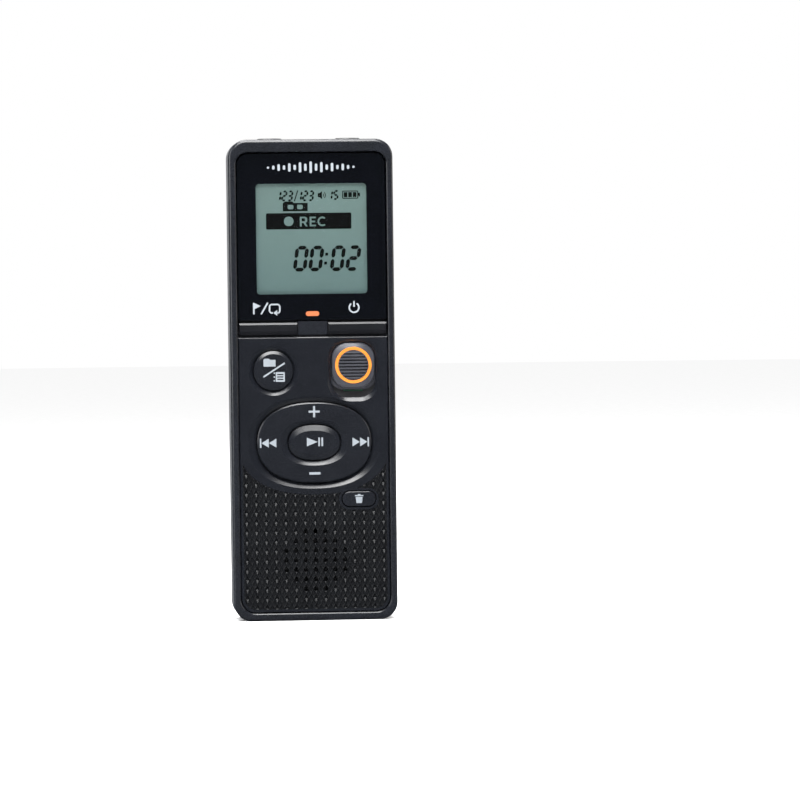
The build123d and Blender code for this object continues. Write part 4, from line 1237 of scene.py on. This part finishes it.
@dataclass
class PatternedSkin:
    """The loudspeaker's skin: a lattice of lozenge pits between crossing ridges, let into the key panel.

    Attributes:
        pitch_x: Spacing of the columns of holes.
        pitch_z: Spacing of the rows of holes.
        row: Z of the middle row of holes.
        holes: Number of holes in each row.
        hole: Diameter of a hole.
        side: Plain border of the panel beside the skin.
        foot: Plain border below it.
        corner: Radius of its lower corners.
        arc_size: Width and height of the oval that it keeps clear of.
        island: Plain border around the erase key.
        ridge: Width of a ridge between two pits.
        slope: Width of a pit's walls.
        pit: Depth of a deep pit.
        shallow: Depth of the others.
        ramp_head: How far below its middle a deep pit's ramp starts.
        ramp_foot: Where it ends.
        thickness: Thickness of the skin below its pits.
        proud: How far the ridges stand above the panel.
        bead: Radius of the beads along the skin's upper edge.
        bead_pitch: Their spacing.
        bead_offset: How far outside the oval edge they stand.
        bead_clearance: Half-height of the oval around the erase key that they keep clear of.
        bead_stretch: Width of that oval as a share of its height.
        ramp_lip: How far below the floor's rim a ramp's foot stays.
        ramp_taper: How far a ramp's upper corners move inwards.
        key_size: Width and height of the erase key.
        reach: How far the cutters reach in front of the ridges; behind, they reach twice as far.
    """

    pitch_x: float = 2.2
    pitch_z: float = 2.15
    row: float = 13.6
    holes: tuple[int, ...] = (3, 5, 7, 7, 7, 5, 3)
    hole: float = 1.05
    side: float = 0.65
    foot: float = 0.75
    corner: float = 2.55
    arc_size: Point = (34.2, 23.4)
    island: float = 0.75
    ridge: float = 0.13
    slope: float = 0.13
    pit: float = 0.3
    shallow: float = 0.16
    ramp_head: float = 0.02
    ramp_foot: float = 0.86
    thickness: float = 0.04
    proud: float = 0.05
    bead: float = 0.2
    bead_pitch: float = 1.0
    bead_offset: float = 0.25
    bead_clearance: float = 3.1
    bead_stretch: float = 1.6
    ramp_lip: float = 0.02
    ramp_taper: float = 0.06
    key_size: Point = (7.5, 3.35)
    reach: float = 0.5

    def tile(self, front: float, deep: bool) -> bpy.types.Object:
        """One lozenge pit: a four-sided face inset twice and pushed in, with a ramp in a deep one.

        Args:
            front: Y of the ridges.
            deep: Whether it is one of the deep pits in line with the holes.

        Returns:
            The tile, open at its back.
        """
        bpy.ops.mesh.primitive_circle_add(
            vertices=4,
            radius=MM,
            fill_type="NGON",
            location=(0, front * MM, 0),
            rotation=(FACING, 0, 0),
        )
        item = bpy.context.active_object
        item.scale = (self.pitch_x / 4, self.pitch_z / 2, 1)
        settle(item)
        bpy.ops.object.mode_set(mode="EDIT")
        bpy.ops.mesh.select_all(action="SELECT")
        bpy.ops.mesh.inset(thickness=self.ridge / 2 * MM, depth=0)
        bpy.ops.mesh.inset(thickness=self.slope * MM, depth=0)
        bpy.ops.transform.translate(value=(0, (self.pit if deep else self.shallow) * MM, 0))
        bpy.ops.object.mode_set(mode="OBJECT")
        if deep:
            self.ramp(item)
        return item

    def ramp(self, item: bpy.types.Object) -> None:
        """Turn the lower part of a deep pit's floor into a ramp that faces up.

        Args:
            item: The tile.
        """
        floor = max(item.data.polygons, key=lambda face: face.center.y)
        spots = sorted(floor.vertices, key=lambda index: item.data.vertices[index].co.z)
        lowest, sides = spots[0], spots[1:3]
        drop = -self.ramp_foot * MM - item.data.vertices[lowest].co.z
        self.move(item, [lowest], (0, -(self.pit - self.ramp_lip) * MM, drop))
        for index in sides:
            inward = -math.copysign(self.ramp_taper * MM, item.data.vertices[index].co.x)
            self.move(item, [index], (inward, 0, -self.ramp_head * MM))
        pick_vertices(item, sides)
        bpy.ops.object.mode_set(mode="EDIT")
        bpy.ops.mesh.vert_connect()
        bpy.ops.object.mode_set(mode="OBJECT")

    def move(self, item: bpy.types.Object, spots: list[int], by: tuple[float, float, float]) -> None:
        """Move some of a tile's points by a vector in metres."""
        pick_vertices(item, spots)
        bpy.ops.object.mode_set(mode="EDIT")
        bpy.ops.transform.translate(value=by)
        bpy.ops.object.mode_set(mode="OBJECT")

    def lattice(self, front: float, low: Point, high: Point) -> bpy.types.Object:
        """Fill a rectangle with tiles and give them a back.

        Args:
            front: Y of the ridges.
            low: Lower left corner to cover.
            high: Upper right corner to cover.

        Returns:
            A closed sheet that covers more than the rectangle.
        """
        kinds = {deep: self.tile(front, deep) for deep in (True, False)}
        step_x, step_z = self.pitch_x / 4, self.pitch_z / 2
        tiles = []
        columns = range(math.floor(low[0] / step_x) - 1, math.ceil(high[0] / step_x) + 2)
        foot, head = (low[1] - self.row) / step_z, (high[1] - self.row) / step_z
        rows = range(math.floor(foot) - 1, math.ceil(head) + 2)
        for i in columns:
            for j in rows:
                if (i + j) % 2 == 0:
                    place = Matrix.Translation((i * step_x * MM, 0, (self.row + j * step_z) * MM))
                    tiles.append(copy_of(kinds[i % 4 == 0 and j % 2 == 0], place))
        for tile in kinds.values():
            remove(tile)
        sheet = join("loudspeaker_skin", tiles)
        make_active(sheet)
        bpy.ops.object.mode_set(mode="EDIT")
        bpy.ops.mesh.select_all(action="SELECT")
        bpy.ops.mesh.remove_doubles(threshold=0.01 * MM)
        bpy.ops.mesh.select_all(action="DESELECT")
        bpy.ops.mesh.select_non_manifold()
        back = {"value": (0, (self.pit + self.thickness) * MM, 0)}
        bpy.ops.mesh.extrude_region_move(TRANSFORM_OT_translate=back)
        bpy.ops.mesh.edge_face_add()
        bpy.ops.object.mode_set(mode="OBJECT")
        outward(sheet)
        return sheet

    def outline(self) -> tuple[Point, Point, float]:
        """Lower left corner, upper right corner and pad centre height of the skin's field."""
        low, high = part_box("key_panel")
        _, centre = centre_of("nav_pad")
        return (low.x / MM + self.side, low.z / MM + self.foot), (high.x / MM - self.side, centre), centre

    def build(self) -> None:
        """Build the lattice, trim it to its field and open its holes."""
        low, high, centre = self.outline()
        front = front_of("key_panel") - self.proud
        skin = self.lattice(front, low, high)
        span = (front - self.reach, front + 2 * self.reach)
        field_loop = arc((low[0] + self.corner, low[1] + self.corner), self.corner, 180, 270)
        field_loop += arc((high[0] - self.corner, low[1] + self.corner), self.corner, 270, 360)
        field_loop += [high, (low[0], high[1])]
        self.cut(skin, slab("field", [field_loop], *span), "INTERSECT")
        self.cut(skin, slab("arc", [oval_loop((0, centre), *self.arc_size)], *span), "DIFFERENCE")
        x, z = centre_of("erase_key")
        wide, tall = (size / 2 + self.island for size in self.key_size)
        island = rounded((x - wide, z - tall), (x + wide, z + tall), tall - 0.01)
        self.cut(skin, slab("island", [island], *span), "DIFFERENCE")
        self.cut(skin, self.hole_pins(*span), "DIFFERENCE")
        outward(skin, 0.0005)
        smooth(skin, 12)
        dress(skin, SKIN_ABS, "case")
        self.beads(front, low, high, centre)

    def beads(self, front: float, low: Point, high: Point, centre: float) -> None:
        """Small round beads along the skin's curved upper edge.

        Args:
            front: Y of the ridges.
            low: Lower left corner of the skin's field.
            high: Its upper right corner.
            centre: Z of the middle of the oval edge.
        """
        bpy.ops.mesh.primitive_uv_sphere_add(
            segments=8, ring_count=6, radius=self.bead * MM, location=(0, front * MM, 0)
        )
        bead = settle(bpy.context.active_object)
        wide, tall = (size + 2 * self.bead_offset for size in self.arc_size)
        loop = oval_loop((0, centre), wide, tall, steps=720)
        made, last = [], None
        key_x, key_z = centre_of("erase_key")
        for x, z in loop[len(loop) // 2 :] + loop[:1]:
            far = last is None or math.hypot(x - last[0], z - last[1]) >= self.bead_pitch
            clear = math.hypot((x - key_x) / self.bead_stretch, z - key_z) > self.bead_clearance
            if far and low[0] + 0.2 < x < high[0] - 0.2 and clear:
                made.append(copy_of(bead, Matrix.Translation((x * MM, 0, z * MM))))
                last = (x, z)
        remove(bead)
        beads = join("skin_edge_beads", made)
        smooth(beads)
        dress(beads, SKIN_ABS, "case")

    def hole_pins(self, front: float, back: float) -> bpy.types.Object:
        """Round pins where the holes are, joined into one cutter."""
        bpy.ops.mesh.primitive_cylinder_add(
            vertices=14,
            radius=self.hole / 2 * MM,
            depth=(back - front) * MM,
            location=(0, (front + back) / 2 * MM, 0),
            rotation=(FACING, 0, 0),
        )
        pin = settle(bpy.context.active_object)
        pins = []
        for j, count in enumerate(self.holes):
            z = self.row + (len(self.holes) // 2 - j) * self.pitch_z
            for i in range(count):
                x = (i - (count - 1) / 2) * self.pitch_x
                pins.append(copy_of(pin, Matrix.Translation((x * MM, 0, z * MM))))
        remove(pin)
        return join("pins", pins)

    def cut(self, item: bpy.types.Object, tool: bpy.types.Object, way: str) -> None:
        """Cut a piece with a closed tool and remove the tool."""
        apply_modifier(item, "BOOLEAN", object=tool, operation=way, solver="EXACT")
        remove(tool)


@dataclass
class SocketSleeves:
    """The plated sleeves inside the two sockets in the upper end.

    Attributes:
        bore: Radius of a socket's bore.
        wall: Thickness of a sleeve.
        sink: How far its mouth lies below the socket's collar.
        length: Its length.
        flare: Width of the polished chamfer at its mouth.
    """

    bore: float = 1.79
    wall: float = 0.14
    sink: float = 0.35
    length: float = 7.0
    flare: float = 0.09

    def sleeve(self, node: str) -> bpy.types.Object:
        """One sleeve: a tube with a wall, chamfered at its mouth.

        Args:
            node: The socket that it lines.

        Returns:
            The sleeve.
        """
        low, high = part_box(node)
        top = high.z / MM - self.sink
        middle = ((low.x + high.x) / 2, self.axis(node), (top - self.length / 2) * MM)
        bpy.ops.mesh.primitive_cylinder_add(
            vertices=48,
            radius=self.bore * MM,
            depth=self.length * MM,
            end_fill_type="NOTHING",
            location=middle,
        )
        tube = settle(bpy.context.active_object)
        apply_modifier(tube, "SOLIDIFY", thickness=self.wall * MM, offset=-1.0)
        corner = {"limit_method": "ANGLE", "angle_limit": math.radians(60)}
        apply_modifier(tube, "BEVEL", width=self.flare / 2 * MM, segments=2, **corner)
        outward(tube)
        smooth(tube, 40)
        return tube

    def axis(self, node: str) -> float:
        """Y in metres of a socket's bore: the middle of its round collar."""
        item = bpy.data.objects[node]
        crest = max(vertex.co.z for vertex in item.data.vertices)
        rim = [vertex.co.y for vertex in item.data.vertices if vertex.co.z > crest - 0.3 * MM]
        return (min(rim) + max(rim)) / 2

    def build(self) -> None:
        """Line both sockets."""
        for node in ("earphone_socket", "microphone_socket"):
            sleeve = self.sleeve(node)
            sleeve.name = sleeve.data.name = f"{node}_sleeve"
            dress(sleeve, NICKEL, "case")


@dataclass(frozen=True)
class Lamp:
    """A soft rectangular light aimed at the middle of the recorder.

    Attributes:
        name: Its name.
        place: Where it stands, in metres.
        size: Its width and height in metres.
        power: Its power in watts.
        tint: Its colour.
    """

    name: str
    place: tuple[float, float, float]
    size: Point
    power: float
    tint: str = "#ffffff"


LAMPS = (
    Lamp("top_light", (-0.06, -0.42, 0.5), (0.5, 0.17), 4.7),
    Lamp("strip_light", (-0.12, -0.27, 0.62), (0.4, 0.12), 1.6),
    Lamp("overhead_light", (-0.05, -0.03, 0.6), (0.5, 0.22), 5.5),
    Lamp("back_light", (0.1, 0.7, 0.8), (0.9, 0.5), 6.0),
    Lamp("left_rim", (-0.95, 0.1, 0.25), (0.5, 0.9), 6.0),
    Lamp("right_rim", (0.95, 0.1, 0.25), (0.5, 0.9), 4.0, "#fff6ee"),
)


@dataclass
class Studio:
    """Plain pale floor, soft lights and the camera.

    Attributes:
        span: Width of the field seen at the object, in metres.
        lens: Focal length for a 36 mm wide sensor.
        azimuth: How far round to the left the camera stands, in degrees.
        elevation: How far above level it looks down, in degrees.
        roll: Lean of the picture in degrees.
        aim: Where the camera looks, right of and below the object's centre, in metres.
        sensor: Width of the camera's sensor in millimetres.
        clip: Nearest and farthest distance that it sees, in metres.
        target: The point that the lights are aimed at, in metres.
        floor_radius: Radius of the floor in metres.
        surround: Colour of the surround in reflections.
        surround_level: Its strength there.
    """

    span: float = 0.1809
    lens: float = 200.0
    azimuth: float = -3.65
    elevation: float = 1.0
    roll: float = 0.7
    aim: Point = (0.0200, -0.0051)
    sensor: float = 36.0
    clip: Point = (0.05, 20.0)
    target: tuple[float, float, float] = (0.0, 0.0, 0.06)
    floor_radius: float = 4.0
    surround: str = "#e6eeff"
    surround_level: float = 0.08

    def floor(self) -> None:
        """A large round pale floor under the recorder."""
        bpy.ops.mesh.primitive_circle_add(vertices=96, radius=self.floor_radius, fill_type="NGON")
        floor = bpy.context.active_object
        bpy.ops.object.mode_set(mode="EDIT")
        bpy.ops.mesh.select_all(action="SELECT")
        bpy.ops.mesh.inset(thickness=1.0, depth=0)
        bpy.ops.object.mode_set(mode="OBJECT")
        floor.name = "floor"
        floor.data.materials.append(STAGE_PAINT.make())
        floor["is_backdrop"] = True

    def light(self, lamp: Lamp) -> None:
        """Set up one light, aimed at the target."""
        data = bpy.data.lights.new(lamp.name, "AREA")
        data.shape = "RECTANGLE"
        data.size, data.size_y = lamp.size
        data.energy = lamp.power
        data.color = linear(lamp.tint)[:3]
        item = bpy.data.objects.new(lamp.name, data)
        item.location = lamp.place
        away = Vector(lamp.place) - Vector(self.target)
        item.rotation_euler = away.to_track_quat("Z", "Y").to_euler()
        bpy.context.scene.collection.objects.link(item)

    def sky(self) -> None:
        """White behind the object for the eye, and a dimmer even surround for its reflections."""
        world = bpy.data.worlds.new("studio")
        bpy.context.scene.world = world
        world.use_nodes = True
        tree = world.node_tree
        tree.nodes.clear()
        path = add_node(tree, "ShaderNodeLightPath").outputs
        rays = {0: path["Is Camera Ray"], 1: path["Is Diffuse Ray"]}
        seen = add_node(tree, "ShaderNodeMath", rays, operation="MAXIMUM")
        dim = add_node(
            tree, "ShaderNodeBackground", Color=linear(self.surround), Strength=self.surround_level
        )
        pale = add_node(tree, "ShaderNodeBackground", Color=linear("#ffffff"), Strength=1.0)
        sources = {0: seen.outputs[0], 1: dim.outputs[0], 2: pale.outputs[0]}
        mix = add_node(tree, "ShaderNodeMixShader", sources)
        add_node(tree, "ShaderNodeOutputWorld", {"Surface": mix.outputs[0]})

    def camera(self) -> None:
        """The camera, aimed beside the recorder so that it stands left of the middle."""
        low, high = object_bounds()
        centre = (low + high) / 2
        a, e = math.radians(self.azimuth), math.radians(self.elevation)
        back = Vector((math.sin(a) * math.cos(e), -math.cos(a) * math.cos(e), math.sin(e)))
        distance = self.span * self.lens / self.sensor
        place = centre + back * distance
        turn = (-back).to_track_quat("-Z", "Y")
        spot = centre + turn @ Vector((*self.aim, 0))
        aimed = (spot - place).to_track_quat("-Z", "Y")
        data = bpy.data.cameras.new("camera")
        data.lens, data.sensor_width = self.lens, self.sensor
        data.clip_start, data.clip_end = self.clip
        camera = bpy.data.objects.new("camera", data)
        camera.rotation_mode = "QUATERNION"
        camera.location = place
        roll = Matrix.Rotation(math.radians(-self.roll), 4, "Z").to_quaternion()
        camera.rotation_quaternion = aimed @ roll
        bpy.context.scene.collection.objects.link(camera)
        bpy.context.scene.camera = camera

    def build(self) -> None:
        """Set up the floor, lights, surround and camera."""
        self.floor()
        for lamp in LAMPS:
            self.light(lamp)
        self.sky()
        self.camera()


def dress_frame(nodes: dict[str, bpy.types.Object]) -> None:
    """Give every CAD node its finish.

    Args:
        nodes: The frame's nodes by name.
    """
    for name, item in nodes.items():
        material = NODE_FINISHES[name].make()
        item.data.materials.clear()
        item.data.materials.append(material)
    LOG.info("%d frame nodes dressed", len(nodes))


def main() -> None:
    """Load the frame, build each sub-assembly in order and set up the studio."""
    logging.basicConfig(level=logging.INFO, format="%(name)s: %(message)s")
    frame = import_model()
    deselect()
    bpy.context.scene.view_settings.view_transform = "Standard"
    dress_frame(frame["nodes"])
    for assembly in (DisplayWindow, DisplayContent, WindowMarks, KeyMarks, PatternedSkin, SocketSleeves):
        assembly().build()
    Studio().build()


if __name__ == "__main__":
    main()
